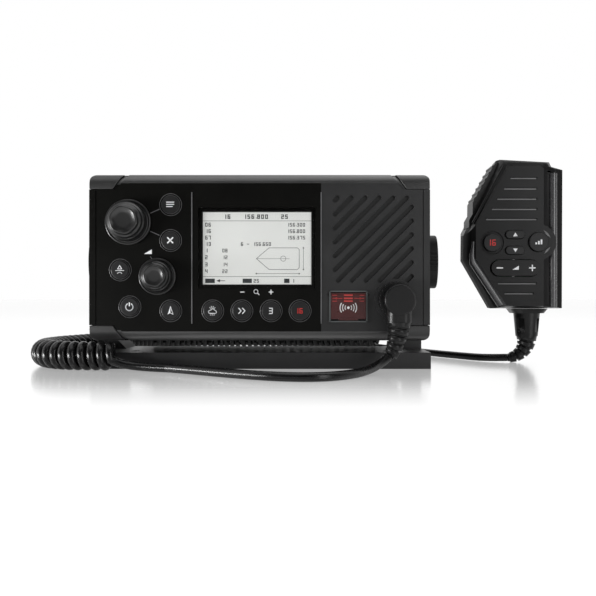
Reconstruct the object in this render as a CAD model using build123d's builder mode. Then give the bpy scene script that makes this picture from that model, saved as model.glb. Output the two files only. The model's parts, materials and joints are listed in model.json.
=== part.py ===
from build123d import *
import math
import os

# VHF marine radio on a gimbal bracket, with a fist microphone on a curly cord.
#
# Frame: +Z up, +X to the right as seen from the front, -Y towards the user.
# The origin is the centre of the bracket's footprint, on its underside.
# Depths are counted from the front plane of the face moulding, backwards (+Y),
# and heights on the face from the tilt axis, which is level with its middle.

# ---- places shared by every piece ---------------------------------------
PIVOT_Z = 64.2          # tilt axis above the surface
FRONT_Y = -50.0         # front plane of the face moulding

# ---- clearances ---------------------------------------------------------
GAP = 0.3               # between pieces that move past each other
RUNNING = 0.08          # radial clearance of pins and shafts
CAP_GAP = 0.25          # seam around the corner caps

# ---- body behind the face, and how far the face stands out around it -----
BODY_W = 168.0
BODY_H = 80.4
FACE_OVERHANG_X = 13.2
FACE_OVERHANG_Z = 7.45

# ---- face moulding ------------------------------------------------------
FACE_W = BODY_W + 2 * FACE_OVERHANG_X
FACE_H = BODY_H + 2 * FACE_OVERHANG_Z
FACE_DEPTH = 23.0
FACE_CORNER = 3.5
FACE_WALL = 3.0
RIM_W = 8.0             # side walls behind the face
BEVEL_H = 5.35
BEVEL_DEPTH = 4.0
BEVEL_CROWN = 0.8       # rise of the rounded bevel above its chord
BEVEL_STEPS = 5         # flats that make it up
STRIP_W = 3.9           # strip beside the groove at each side
GROOVE_W = 0.6
GROOVE_DEPTH = 0.6
DIVIDER_X = (-38.6, 35.1)
DIVIDER_TOP = 37.3
DIVIDER_BOTTOM = -38.0
DIVIDER_W = 0.8
DIVIDER_PROUD = 0.3
CAP_TOP_W = 19.6        # corner caps, along the edge of the face
CAP_LOW_W = 13.6        # and along their inner side
CAP_H = 8.95
CAP_DEPTH = 6.0
CHANNEL_W = 2.0         # slanted channel beside each cap
CHANNEL_D = 0.7

# ---- screws -------------------------------------------------------------
SCREW_R = 1.5
SCREW_LENGTH = 18.0
SCREW_HEAD_R = 3.0
SCREW_HEAD_H = 2.5
SCREW_OUT = 4.0         # face screws outside the body's sides
FACE_SCREW_X = BODY_W / 2 + SCREW_OUT
FACE_SCREW_Z = BODY_H / 2 + SCREW_R + GAP
POST = 12.0             # square corner posts

# ---- display ------------------------------------------------------------
SCREEN_X = -1.6
SCREEN_Z = 5.35
SCREEN_W = 62.4
SCREEN_H = 41.7
WINDOW_BORDER = 2.0
WINDOW_T = 1.4
LCD_BORDER = 4.0
BOARD_DEPTH = 10.5      # front of the keypad board
BOARD_T = 1.6

# ---- face keys ----------------------------------------------------------
KEY_PLACES = {
    "key_menu": (-50.7, 30.0),
    "key_cancel": (-50.7, 9.6),
    "key_ais": (-79.4, -7.2),
    "key_power": (-73.9, -28.2),
    "key_navigation": (-50.6, -30.5),
    "key_weather": (-26.7, -30.5),
    "key_scan": (-10.1, -30.5),
    "key_triple_watch": (6.6, -30.5),
    "key_channel_16": (23.1, -30.5),
}
KEY_R = 5.1
KEY_RING_R = 6.45
KEY_PROUD = 1.5
KEY_FLANGE_R = 6.3
KEY_FLANGE_T = 1.2
KEY_STEM_R = 2.4
KEY_TRAVEL = 0.8
KEY_DISH = 0.6          # depth of the ring around a key
KEY_EDGE = 0.5
SWITCH_REST = 0.05      # between a pressed stem and its switch
SWITCH_R = 3.0
SWITCH_T = 0.9

# ---- knobs on the face: place, flange, grip, cap, reach ------------------
CHANNEL_X = -74.7
CHANNEL_Z = 19.9
CHANNEL_FLANGE_R = 13.0
CHANNEL_GRIP_R = 11.0
CHANNEL_CAP_R = 7.6
CHANNEL_REACH = 13.5
VOLUME_X = -58.05
VOLUME_Z = -11.0
VOLUME_FLANGE_R = 10.55
VOLUME_GRIP_R = 8.9
VOLUME_CAP_R = 5.9
VOLUME_REACH = 11.5
KNOB_LIFT = 0.9         # knob's back above the face
KNOB_FLANGE_T = 1.6
KNOB_DISH = 0.5
KNOB_TRAVEL = 0.5
SHAFT_R = 3.0
SHAFT_COLLAR_R = 4.4
SHAFT_COLLAR_T = 1.0
ENCODER_SIZE = 14.0

# ---- loudspeaker and its slots ------------------------------------------
GRILLE_LEFT = 41.6
GRILLE_RIGHT = 88.0
GRILLE_TOP = 35.3
GRILLE_BOTTOM = -14.5
SLOT_W = 2.6
SLOT_PITCH = 5.6        # across the slots, which rise at 45 degrees
SPEAKER_R = 24.0
SPEAKER_DEPTH = 17.0
MAGNET_R = 13.0

# ---- distress key under its flap ----------------------------------------
DISTRESS_X = 50.55
DISTRESS_TOP = -19.8
DISTRESS_BOTTOM = -36.4
DISTRESS_W = 20.5
DISTRESS_RIM = 0.8
DISTRESS_RIM_PROUD = 1.0
DISTRESS_POCKET = 5.0
DISTRESS_WALL = 2.0     # sides and floor of the pocket
PIN_SEAT = 1.5          # hinge pin's hold in each side
FLAP_W = 19.8
FLAP_T = 1.6
FLAP_PROUD = 1.4
FLAP_BOTTOM = -35.2
FLAP_TAB_W = 11.0
FLAP_TAB_H = 1.4
FLAP_TAB_T = 1.2
HINGE_DROP = 1.6        # hinge pin below the pocket's upper edge
BARREL_R = 1.3
PIN_R = 0.7
BUTTON_W = 15.0
BUTTON_H = 9.6
BUTTON_DEPTH = 1.5
BUTTON_T = 2.1
BUTTON_TRAVEL = 1.0
STEM_W = 9.0
STEM_H = 5.0
BUTTON_CORNER = 1.0

# ---- microphone socket and plug -----------------------------------------
SOCKET_X = 77.5
SOCKET_Z = -24.3
SOCKET_RING_R = 12.0
SOCKET_RING_PROUD = 1.2
SOCKET_R = 9.5
SOCKET_BORE_R = 6.6
SOCKET_FLANGE_R = 11.2
SOCKET_LENGTH = 14.0
SOCKET_PROUD = 0.4
SOCKET_FLANGE_T = 2.0
PLUG_EDGE = 1.0
PLUG_LIFT = 0.5         # plug's shoulder above the face
PLUG_NOSE_R = 6.5
PLUG_NOSE = 6.0
PLUG_R = 8.0
PLUG_CAP_R = 8.6
PLUG_REACH = 19.5
PLUG_CAP_T = 5.0
COUPLING_R = 10.3
COUPLING_FRONT = 8.3
COUPLING_BACK = 1.6
COUPLING_RIBS = 24
COUPLING_FLUTE_R = 0.7
NECK_W = 13.6
NECK_D = 10.4
NECK_AXIS = 14.0        # in front of the face
NECK_BOTTOM = 27.5      # above the surface

# ---- chassis ------------------------------------------------------------
GASKET_T = 1.0
GASKET_EDGE = 0.5       # gasket inside the flange's edge
GASKET_CLEAR_X = 2.0    # gasket's opening around the body
GASKET_CLEAR_Z = 0.75
FLANGE_RIM_X = 7.0
FLANGE_RIM_Z = 5.8
FLANGE_W = BODY_W + 2 * FLANGE_RIM_X
FLANGE_H = BODY_H + 2 * FLANGE_RIM_Z
FLANGE_T = 3.0
BODY_WALL = 2.5
BODY_BACK = 138.0       # depth of the body's rear edge
BOSS_R = 13.0
BOSS_PROUD = 6.4        # pivot boss outside the body's side
BOSS_LENGTH = 18.4
BOSS_FACE_X = BODY_W / 2 + BOSS_PROUD
BOSS_INNER_X = BOSS_FACE_X - BOSS_LENGTH
KEEL_INSET = 12.0       # outermost cooling fin inside the body's side
KEEL_RIGHT = BODY_W / 2 - KEEL_INSET
KEEL_LEFT = -KEEL_RIGHT
KEEL_PITCH = 6.0
KEEL_T = 2.2
KEEL_FRONT_Y = 10.0
KEEL_BACK_Y = 86.0
KEEL_CLEAR = 2.1        # fins above the bracket's deck
STANDOFF = 6.0
BOARD_MARGIN = 14.0     # main board inside the body's sides
MAIN_BOARD_W = BODY_W - 2 * BOARD_MARGIN
MAIN_BOARD_D = 88.0
STANDOFF_R = 3.5
STANDOFF_INSET = 5.0
SHIELD_CAN = (-28.0, 8.0, 62.0, 48.0, 9.0)      # place on the board, then its three sizes
POWER_STAGE = (34.0, 20.0, 38.0, 24.0, 14.0)
CAPACITOR = (34.0, -20.0, 5.0, 16.0)            # middle one's place, radius and height
CAPACITOR_PITCH = 14.0
REAR_T = 4.0
REAR_FIN = 8.0
REAR_FIN_T = 1.8
REAR_FIN_PITCH = 8.0
REAR_FIN_EDGE = 2.0
CONNECTOR_UP = 22.2     # connectors above the body's underside
CONNECTOR_Z = -BODY_H / 2 + CONNECTOR_UP
ANTENNA_X = -50.0
ANTENNA_R = 7.9
ANTENNA_BORE_R = 2.2
NETWORK_X = 0.0
NETWORK_R = 7.0
NETWORK_BORE_R = 4.8
POWER_X = 46.0
POWER_R = 8.5
POWER_BORE_R = 5.6
CONNECTOR_FLANGE_T = 2.0
CONNECTOR_FLANGE_RIM = 3.0
CONNECTOR_CLEAR = 20.0  # from the connectors' axes up to the fins
CONNECTOR_REACH = 8.0
CONNECTOR_TAIL = 6.0

# ---- gimbal bracket -----------------------------------------------------
WASHER_T = 1.7
WASHER_R = 12.5
ARM_INNER_X = BOSS_FACE_X + WASHER_T + GAP
ARM_T = 6.0
BASE_LIP = 0.3          # base outside the arms
BASE_W = 2 * (ARM_INNER_X + ARM_T + BASE_LIP)
BASE_LENGTH = 90.0
DECK_TOP = 9.5
KEEL_BOTTOM = DECK_TOP + KEEL_CLEAR
DECK_BACK_Y = 8.0
PLATE_TOP = 3.5
ARM_HALF = 16.0
ARM_FOOT_BACK_Y = 40.0
GUSSET = 8.0
BASE_HOLE_R = 2.75
BASE_HOLE_X = 150.0
BASE_HOLE_Y = 66.0
POCKET_W = 26.0
POCKET_L = 14.0
POCKET_DEPTH = 6.5
POCKET_RIB = 4.0        # between pockets side by side
BASE_CORNER = 4.0
ARM_FOOT_TOP = 34.0     # where the arm's rear edge starts to slope

# ---- clamp knobs --------------------------------------------------------
CLAMP_HALF_H = 17.0     # oval, upright when it is tight
CLAMP_HALF_D = 8.6
CLAMP_T = 12.0
CLAMP_EDGE = 1.2
CLAMP_GROOVES = 7       # grip grooves across its two flat sides
CLAMP_GROOVE_PITCH = 1.75
CLAMP_GROOVE_R = 0.55
CLAMP_GROOVE_START = 0.9
CLAMP_INNER_X = ARM_INNER_X + ARM_T + GAP
STUD_R = 4.0
STUD_GRIP = 14.4        # stud's end inside the boss
STUD_END_X = BOSS_FACE_X - STUD_GRIP

# ---- fist microphone ----------------------------------------------------
MIC_FRONT = 32.0        # depth of its front face
MIC_PART = 47.0         # depth of the joint between its shells
MIC_BACK = 62.0
MIC_WALL = 1.8
MIC_SIDE_WALL = 2.4
MIC_SILHOUETTE = [(148.4, 128.7), (180.8, 126.8), (182.2, 123.6), (190.1, 121.6), (189.7, 34.4),
                  (144.8, 34.4), (127.4, 65.0), (127.6, 80.8)]
MIC_FACE = [(151.5, 122.4), (171.8, 122.6), (172.8, 121.8), (174.1, 120.3), (174.1, 36.1),
            (150.9, 36.1), (131.7, 65.4), (131.7, 86.2)]
MIC_CHANNEL = [(173.6, 30.0), (173.6, 33.4), (178.4, 34.9), (180.4, 34.0), (180.4, 30.0)]
MIC_CHANNEL_BACK = [(172.6, 33.6), (178.6, 35.2), (182.6, 35.2), (182.6, 37.2), (172.6, 36.0)]
MIC_SLOTS = [(153.1, 169.8, 115.0), (149.1, 169.8, 108.5), (145.0, 169.8, 102.2),
             (141.7, 169.8, 95.9), (138.0, 169.8, 89.6), (145.4, 169.4, 50.0),
             (149.4, 167.5, 43.8)]
MIC_SLOT_W = 1.2
MIC_KEY_TRAVEL = 0.5
MIC_BOARD = 44.0        # depth of the board's front
MIC_SWITCH_T = 0.6
MIC_16_X = 141.7
MIC_16_Z = 75.1
MIC_16_R = 5.4
MIC_POCKET_R = 7.3
MIC_HL_X = 170.1
MIC_HL_Z = 75.5
MIC_HL_R = 5.9
MIC_BOSS_R = 11.2
MIC_FLANGE_W = 1.1      # flange around each key
MIC_FLANGE_T = 1.0
MIC_STEM_R = 1.5
MIC_DISH = 0.7          # depth of the ring around the numbered key
MIC_BOSS_T = 4.0        # power key's boss behind the front wall
MIC_SWITCH_R = 2.2
PILL_X = 155.7
PILL_UP_Z = 80.1
PILL_DOWN_Z = 70.4
PILL_W = 11.7
PILL_H = 5.0
ROCKER_Z = 59.5
ROCKER_W = 29.4
ROCKER_H = 9.7
ROCKER_PROUD = 1.6
ROCKER_GAP = 0.5
ROCKER_PIN_DEPTH = 3.0  # behind the front face
ROCKER_LUG_T = 1.4
ROCKER_LUG_W = 4.0
ROCKER_LUG_D = 3.4
MIC_PIN_R = 0.8
MIC_SPEAKER = (159.5, 104.0, 11.8)
MIC_CAPSULE = (158.5, 46.9, 5.0)
MIC_SCREWS = [(179.5, 112.0), (179.5, 41.0), (149.5, 41.5), (133.2, 71.5)]
MIC_BOSS_FRONT = 35.6   # depth of the bosses' front ends
MIC_SCREW_R = 1.25
MIC_SCREW_HEAD_R = 2.5
MIC_SCREW_HEAD_H = 1.6
MIC_BOSS_WALL_R = 3.0
PTT_FRONT = 40.0
PTT_BACK = 54.0
PTT_INSIDE = 4.0
PTT_LOW = 5.0
PTT_HIGH = 49.5
PTT_EDGE = [(PTT_LOW, 0.1), (9.4, 1.9), (13.6, 1.4), (20.3, 4.2), (47.7, 1.3), (PTT_HIGH, 0.4)]
PTT_PIN_S = 7.8
PTT_PIN_H = -2.2
PTT_LUG_HALF = 2.7      # lug's half length, about the pin
PTT_LUG_OUT = 1.3       # lug's reach out of and into the body, from the pin
PTT_LUG_IN = 2.4
LUG_T = 2.4
MIC_SCREW_GRIP = 6.0    # screw's hold in the front shell
HANG_X = 160.0
HANG_Z = 92.0
HANG_NECK_R = 4.5
HANG_HEAD_R = 8.5
HANG_NECK = 4.0
HANG_HEAD = 3.0
BOOT_X = 168.0
BOOT_COLLAR_W = 23.4
BOOT_COLLAR_D = 20.0
BOOT_COLLAR_CORNER = 6.0
BOOT_COLLAR_END_W = 19.8
BOOT_COLLAR_END_D = 17.0
BOOT_TOP_R = 8.1
BOOT_TOP_Z = 31.4
BOOT_LOW_R = 6.8
BOOT_LOW_Z = 16.8
BOOT_BEND_R = 12.0
BOOT_WINDOW = (2.0, 4.6, 8.6)     # depth, width and height
BOOT_WINDOW_Z = 19.5
BOOT_RIBS = 5
BOOT_RIB_SHARE = 0.66   # of the pitch; the rest is the groove between two ribs
BOOT_GROOVE = 1.25      # depth of those grooves

# ---- cord ---------------------------------------------------------------
CORD_R = 2.4
CORD_Z = 2.5            # axis of the cord where it lies on the surface
COIL_R = 8.35
COIL_Z = 8.4
PLUG_BOOT_END = (72.2, -64.0, 9.0)
FRONT_LEAD = [(71.8, -64.3, 8.7), (66.8, -67.8, 5.3), (60.0, -77.0, 2.9), (50.5, -93.5, CORD_Z),
              (34.5, -107.0, CORD_Z), (14.5, -106.0, CORD_Z), (-4.5, -96.0, CORD_Z),
              (-22.5, -83.5, CORD_Z), (-41.0, -69.5, CORD_Z), (-59.5, -58.5, CORD_Z),
              (-77.9, -55.0, CORD_Z)]
COIL_ROUTE = [(-78.4, -54.6), (-98.0, -55.2), (-117.0, -48.5), (-130.0, -32.5), (-133.5, -11.0),
              (-127.5, 11.0), (-119.0, 31.0), (-113.0, 54.0), (-106.0, 78.0), (-94.0, 100.0),
              (-74.5, 117.0), (-50.0, 126.0), (-24.5, 129.5), (1.0, 129.0), (22.0, 126.5),
              (40.0, 122.5), (57.0, 116.0), (72.5, 107.0), (85.5, 95.5)]
BACK_LEAD = [(85.8, 95.2, CORD_Z), (97.0, 77.5, CORD_Z), (106.0, 57.0, CORD_Z),
             (116.5, 37.5, CORD_Z), (128.0, 19.5, CORD_Z), (138.0, 5.0, CORD_Z),
             (146.2, -1.4, 2.7), (155.4, -3.0, 3.0)]
PLUG_BOOT_R = (6.4, 3.7)
MIC_BOOT_R = (6.3, 2.95)

# ---- worked-out values --------------------------------------------------
BODY_FRONT = FACE_DEPTH + GASKET_T
SCREEN_OPENING_W = SCREEN_W + 0.6
SCREEN_OPENING_H = SCREEN_H + 0.6
BODY_FLOOR_Z = PIVOT_Z - BODY_H / 2
BODY_MID = (BODY_FRONT + BODY_BACK) / 2
PTT_START = MIC_SILHOUETTE[-1]
PTT_RUN = (MIC_SILHOUETTE[0][0] - PTT_START[0], MIC_SILHOUETTE[0][1] - PTT_START[1])
PTT_LENGTH = math.hypot(*PTT_RUN)

os.makedirs("parts", exist_ok=True)


def save(name, builder):
    """Label a finished piece and write it to its own STEP file."""
    builder.part.label = name
    export_step(builder.part, f"parts/{name}.step")


def face(depth=0.0):
    """Upright plane at a depth behind the face, centred on the tilt axis; x is X, y is Z."""
    return Plane(origin=(0, FRONT_Y + depth, PIVOT_Z), x_dir=(1, 0, 0), z_dir=(0, -1, 0))


def mic(depth):
    """Upright plane at a depth behind the face, with y counted from the surface."""
    return Plane(origin=(0, FRONT_Y + depth, 0), x_dir=(1, 0, 0), z_dir=(0, -1, 0))


def side(x):
    """Upright plane across the radio at x; its own x is Y and its y is Z."""
    return Plane(origin=(x, 0, 0), x_dir=(0, 1, 0), z_dir=(1, 0, 0))


# =========================================================================
# Face moulding and its corner caps
# =========================================================================
def bevel_points(front, height):
    """Points of the rounded bevel, from the front plane back to the edge at a height."""
    chord = math.hypot(BEVEL_H, BEVEL_DEPTH)
    points = []
    for step in range(BEVEL_STEPS + 1):
        share = step / BEVEL_STEPS
        crown = 4 * BEVEL_CROWN * share * (1 - share)
        points.append((front + BEVEL_DEPTH * share - crown * BEVEL_H / chord,
                       height - BEVEL_H * (1 - share) + crown * BEVEL_DEPTH / chord))
    return points


def face_block(inset):
    """Block with the face's rounded section; every side of it is set in by inset."""
    bevel = bevel_points(FRONT_Y + inset, FACE_H / 2 - inset)
    back = (FRONT_Y + FACE_DEPTH, FACE_H / 2 - inset)
    upper = [(y, PIVOT_Z + z) for y, z in [*bevel, back]]
    lower = [(y, PIVOT_Z - z) for y, z in [back, *reversed(bevel)]]
    with BuildPart() as block:
        with BuildSketch(side(-FACE_W / 2 + inset)):
            with BuildLine():
                Polyline(*upper, *lower, close=True)
            make_face()
        extrude(amount=FACE_W - 2 * inset)
        with BuildSketch(face()):
            RectangleRounded(FACE_W - 2 * inset, FACE_H - 2 * inset, FACE_CORNER)
        extrude(amount=-FACE_DEPTH, mode=Mode.INTERSECT)
    return block.part


def cap_side(height, gap):
    """Where the slanted side of a corner cap stands at a height, moved out by gap."""
    slope = (CAP_TOP_W - CAP_LOW_W) / CAP_H
    start = FACE_W / 2 - CAP_TOP_W + gap * math.hypot(1, slope)
    return start + slope * (FACE_H / 2 - height)


def cap_outline(right, up, gap):
    """Outline of one corner cap, run past the moulding's edges; right and up are 1 or -1."""
    over = 1.0
    low = FACE_H / 2 - CAP_H + gap
    high = FACE_H / 2 + over
    corners = [(FACE_W / 2 + over, high), (cap_side(high, gap), high),
               (cap_side(low, gap), low), (FACE_W / 2 + over, low)]
    return [(right * x, up * z) for x, z in corners]


def channel_outline(right, up):
    """Outline of the slanted channel between a corner cap and the rest of the face."""
    low = FACE_H / 2 - CAP_H
    high = FACE_H / 2 + 1.0
    corners = [(cap_side(high, 0.0), high), (cap_side(high, -CHANNEL_W), high),
               (cap_side(low, -CHANNEL_W), low), (cap_side(low, 0.0), low)]
    return [(right * x, up * z) for x, z in corners]


FACE_BLANK = face_block(0.0)
CHANNEL_FLOOR = face_block(CHANNEL_D)
CORNERS = [(-1, -1), (-1, 1), (1, -1), (1, 1)]

with BuildPart() as corner_caps:
    add(FACE_BLANK)
    with BuildSketch(face(-1.0)):
        for right, up in CORNERS:
            with BuildLine():
                Polyline(*cap_outline(right, up, CAP_GAP), close=True)
            make_face()
    extrude(amount=-(CAP_DEPTH + 1.0), mode=Mode.INTERSECT)

save("corner_caps", corner_caps)

with BuildPart() as channels:
    add(FACE_BLANK)
    add(CHANNEL_FLOOR, mode=Mode.SUBTRACT)
    with BuildSketch(face(-1.0)):
        for right, up in CORNERS:
            with BuildLine():
                Polyline(*channel_outline(right, up), close=True)
            make_face()
    extrude(amount=-(CAP_DEPTH + 1.0), mode=Mode.INTERSECT)


def grille_slots():
    """Ends of each slanted slot, clipped to the grille's rectangle, as (centre, length)."""
    left = GRILLE_LEFT + SLOT_W / 2
    right = GRILLE_RIGHT - SLOT_W / 2
    top = GRILLE_TOP - SLOT_W / 2
    bottom = GRILLE_BOTTOM + SLOT_W / 2
    step = SLOT_PITCH * math.sqrt(2)
    rise = top - left - 1.5
    slots = []
    while rise > bottom - right:
        low_x = max(left, bottom - rise)
        high_x = min(right, top - rise)
        middle = (low_x + high_x) / 2
        length = max((high_x - low_x) * math.sqrt(2), 0.4)
        slots.append(((middle, middle + rise), length))
        rise -= step
    return slots


DISTRESS_MID_Z = (DISTRESS_TOP + DISTRESS_BOTTOM) / 2
DISTRESS_H = DISTRESS_TOP - DISTRESS_BOTTOM
HINGE_Z = DISTRESS_TOP - HINGE_DROP

with BuildPart() as front_bezel:
    add(FACE_BLANK)
    with BuildSketch(face(FACE_WALL)):
        Rectangle(FACE_W - 2 * RIM_W, FACE_H - 2 * FACE_WALL)
    extrude(amount=-(FACE_DEPTH - FACE_WALL), mode=Mode.SUBTRACT)
    # posts behind the corner caps
    with BuildSketch(face(FACE_WALL)):
        with GridLocations(2 * FACE_SCREW_X, 2 * FACE_SCREW_Z, 2, 2):
            Rectangle(POST, POST)
    extrude(amount=-(FACE_DEPTH - FACE_WALL))
    with BuildSketch(face()):
        RectangleRounded(FACE_W, FACE_H, FACE_CORNER)
    extrude(amount=-FACE_DEPTH, mode=Mode.INTERSECT)
    with BuildSketch(face(-1.0)):
        for right, up in CORNERS:
            with BuildLine():
                Polyline(*cap_outline(right, up, 0.0), close=True)
            make_face()
    extrude(amount=-(CAP_DEPTH + 1.0), mode=Mode.SUBTRACT)
    add(channels.part, mode=Mode.SUBTRACT)
    with BuildSketch(face(CAP_DEPTH)):
        with GridLocations(2 * FACE_SCREW_X, 2 * FACE_SCREW_Z, 2, 2):
            Circle(SCREW_HEAD_R)
    extrude(amount=-SCREW_HEAD_H, mode=Mode.SUBTRACT)
    with BuildSketch(face(CAP_DEPTH)):
        with GridLocations(2 * FACE_SCREW_X, 2 * FACE_SCREW_Z, 2, 2):
            Circle(SCREW_R)
    extrude(amount=-FACE_DEPTH, mode=Mode.SUBTRACT)
    # grooves beside the two side strips
    with BuildSketch(face(GROOVE_DEPTH)):
        with GridLocations(FACE_W - 2 * STRIP_W, 0, 2, 1):
            Rectangle(GROOVE_W, FACE_H - 2 * CAP_H)
    extrude(amount=GROOVE_DEPTH, mode=Mode.SUBTRACT)
    # raised dividers
    with BuildSketch(face()):
        for x in DIVIDER_X:
            with Locations((x, (DIVIDER_TOP + DIVIDER_BOTTOM) / 2)):
                SlotOverall(DIVIDER_TOP - DIVIDER_BOTTOM, DIVIDER_W, rotation=90)
    extrude(amount=DIVIDER_PROUD)
    # display opening and the seat of its window
    with BuildSketch(face(FACE_WALL)):
        with Locations((SCREEN_X, SCREEN_Z)):
            Rectangle(SCREEN_OPENING_W, SCREEN_OPENING_H)
    extrude(amount=FACE_WALL, mode=Mode.SUBTRACT)
    with BuildSketch(face(WINDOW_T)):
        with Locations((SCREEN_X, SCREEN_Z)):
            Rectangle(SCREEN_OPENING_W + 2 * WINDOW_BORDER, SCREEN_OPENING_H + 2 * WINDOW_BORDER)
    extrude(amount=WINDOW_T, mode=Mode.SUBTRACT)
    # key holes in shallow dishes
    with BuildSketch(face(KEY_DISH)):
        with Locations(*KEY_PLACES.values()):
            Circle(KEY_RING_R)
    extrude(amount=KEY_DISH, mode=Mode.SUBTRACT)
    with BuildSketch(face(FACE_WALL)):
        with Locations(*KEY_PLACES.values()):
            Circle(KEY_R + GAP)
        with Locations((CHANNEL_X, CHANNEL_Z), (VOLUME_X, VOLUME_Z)):
            Circle(SHAFT_R + GAP)
    extrude(amount=FACE_WALL, mode=Mode.SUBTRACT)
    # loudspeaker slots
    with BuildSketch(face(FACE_WALL)):
        for centre, length in grille_slots():
            with Locations(centre):
                SlotCenterToCenter(length, SLOT_W, rotation=45)
    extrude(amount=FACE_WALL, mode=Mode.SUBTRACT)
    # distress key: rim, pocket and the hinge pin's seats
    with BuildSketch(face(DISTRESS_POCKET + DISTRESS_WALL)):
        with Locations((DISTRESS_X, DISTRESS_MID_Z)):
            Rectangle(DISTRESS_W + 2 * DISTRESS_WALL, DISTRESS_H + 2 * DISTRESS_WALL)
    extrude(amount=DISTRESS_POCKET)
    with BuildSketch(face()):
        with Locations((DISTRESS_X, DISTRESS_MID_Z)):
            Rectangle(DISTRESS_W + 2 * DISTRESS_RIM, DISTRESS_H + 2 * DISTRESS_RIM)
    extrude(amount=DISTRESS_RIM_PROUD)
    with BuildSketch(face(DISTRESS_POCKET)):
        with Locations((DISTRESS_X, DISTRESS_MID_Z)):
            Rectangle(DISTRESS_W, DISTRESS_H)
    extrude(amount=DISTRESS_POCKET + DISTRESS_RIM_PROUD, mode=Mode.SUBTRACT)
    with BuildSketch(face(DISTRESS_POCKET)):
        with Locations((DISTRESS_X, DISTRESS_MID_Z)):
            Rectangle(STEM_W + 2 * GAP, STEM_H + 2 * GAP)
    extrude(amount=-DISTRESS_WALL, mode=Mode.SUBTRACT)
    with BuildSketch(side(DISTRESS_X - DISTRESS_W / 2 - PIN_SEAT)):
        with Locations((FRONT_Y, PIVOT_Z + HINGE_Z)):
            Circle(PIN_R)
    extrude(amount=DISTRESS_W + 2 * PIN_SEAT, mode=Mode.SUBTRACT)
    # ring around the microphone socket
    with BuildSketch(face(FACE_WALL)):
        with Locations((SOCKET_X, SOCKET_Z)):
            Circle(SOCKET_RING_R)
    extrude(amount=FACE_WALL + SOCKET_RING_PROUD)
    with BuildSketch(face(FACE_WALL)):
        with Locations((SOCKET_X, SOCKET_Z)):
            Circle(SOCKET_R)
    extrude(amount=FACE_WALL + SOCKET_RING_PROUD, mode=Mode.SUBTRACT)

save("front_bezel", front_bezel)

# =========================================================================
# Display and keypad board
# =========================================================================
with BuildPart() as display_window:
    with BuildSketch(face(WINDOW_T)):
        with Locations((SCREEN_X, SCREEN_Z)):
            Rectangle(SCREEN_OPENING_W + 2 * WINDOW_BORDER, SCREEN_OPENING_H + 2 * WINDOW_BORDER)
    extrude(amount=WINDOW_T)

save("display_window", display_window)

with BuildPart() as lcd_module:
    with BuildSketch(face(BOARD_DEPTH)):
        with Locations((SCREEN_X, SCREEN_Z)):
            Rectangle(SCREEN_OPENING_W + 2 * LCD_BORDER, SCREEN_OPENING_H + 2 * LCD_BORDER)
    extrude(amount=BOARD_DEPTH - FACE_WALL)

save("lcd_module", lcd_module)

BOARD_LEFT = -FACE_W / 2 + RIM_W + 2.0
BOARD_HALF_H = FACE_SCREW_Z - POST / 2 - 0.5
SPEAKER_X = (GRILLE_LEFT + GRILLE_RIGHT) / 2
SPEAKER_Z = (GRILLE_TOP + GRILLE_BOTTOM) / 2
BOARD_OUTLINE = [
    (BOARD_LEFT, BOARD_HALF_H), (SPEAKER_X - SPEAKER_R - 1.0, BOARD_HALF_H),
    (SPEAKER_X - SPEAKER_R - 1.0, SPEAKER_Z - SPEAKER_R - 2.0),
    (SOCKET_X - SOCKET_RING_R - 1.0, SPEAKER_Z - SPEAKER_R - 2.0),
    (SOCKET_X - SOCKET_RING_R - 1.0, -BOARD_HALF_H), (BOARD_LEFT, -BOARD_HALF_H),
]

with BuildPart() as keypad_board:
    with BuildSketch(face(BOARD_DEPTH + BOARD_T)):
        with BuildLine():
            Polyline(*BOARD_OUTLINE, close=True)
        make_face()
    extrude(amount=BOARD_T)

save("keypad_board", keypad_board)

with BuildPart() as key_switches:
    with BuildSketch(face(BOARD_DEPTH)):
        with Locations(*KEY_PLACES.values(), (DISTRESS_X, DISTRESS_MID_Z)):
            Circle(SWITCH_R)
    extrude(amount=SWITCH_T)

save("key_switches", key_switches)

SWITCH_FACE = BOARD_DEPTH - SWITCH_T
KEY_END = SWITCH_FACE - KEY_TRAVEL - SWITCH_REST

for key_name, key_place in KEY_PLACES.items():
    with BuildPart() as key:
        with BuildSketch(face(FACE_WALL)):
            with Locations(key_place):
                Circle(KEY_R)
        extrude(amount=FACE_WALL + KEY_PROUD)
        fillet(key.edges().filter_by(GeomType.CIRCLE).sort_by(Axis.Y)[0], KEY_EDGE)
        with BuildSketch(face(FACE_WALL + KEY_FLANGE_T)):
            with Locations(key_place):
                Circle(KEY_FLANGE_R)
        extrude(amount=KEY_FLANGE_T)
        with BuildSketch(face(KEY_END)):
            with Locations(key_place):
                Circle(KEY_STEM_R)
        extrude(amount=KEY_END - FACE_WALL)
    save(key_name, key)

# =========================================================================
# Channel and volume knobs, each on a shaft that is turned and pushed
# =========================================================================
COLLAR_FRONT = 6.5
KNOBS = [
    ("channel", CHANNEL_X, CHANNEL_Z, CHANNEL_FLANGE_R, CHANNEL_GRIP_R, CHANNEL_CAP_R,
     CHANNEL_REACH),
    ("volume", VOLUME_X, VOLUME_Z, VOLUME_FLANGE_R, VOLUME_GRIP_R, VOLUME_CAP_R, VOLUME_REACH),
]

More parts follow.
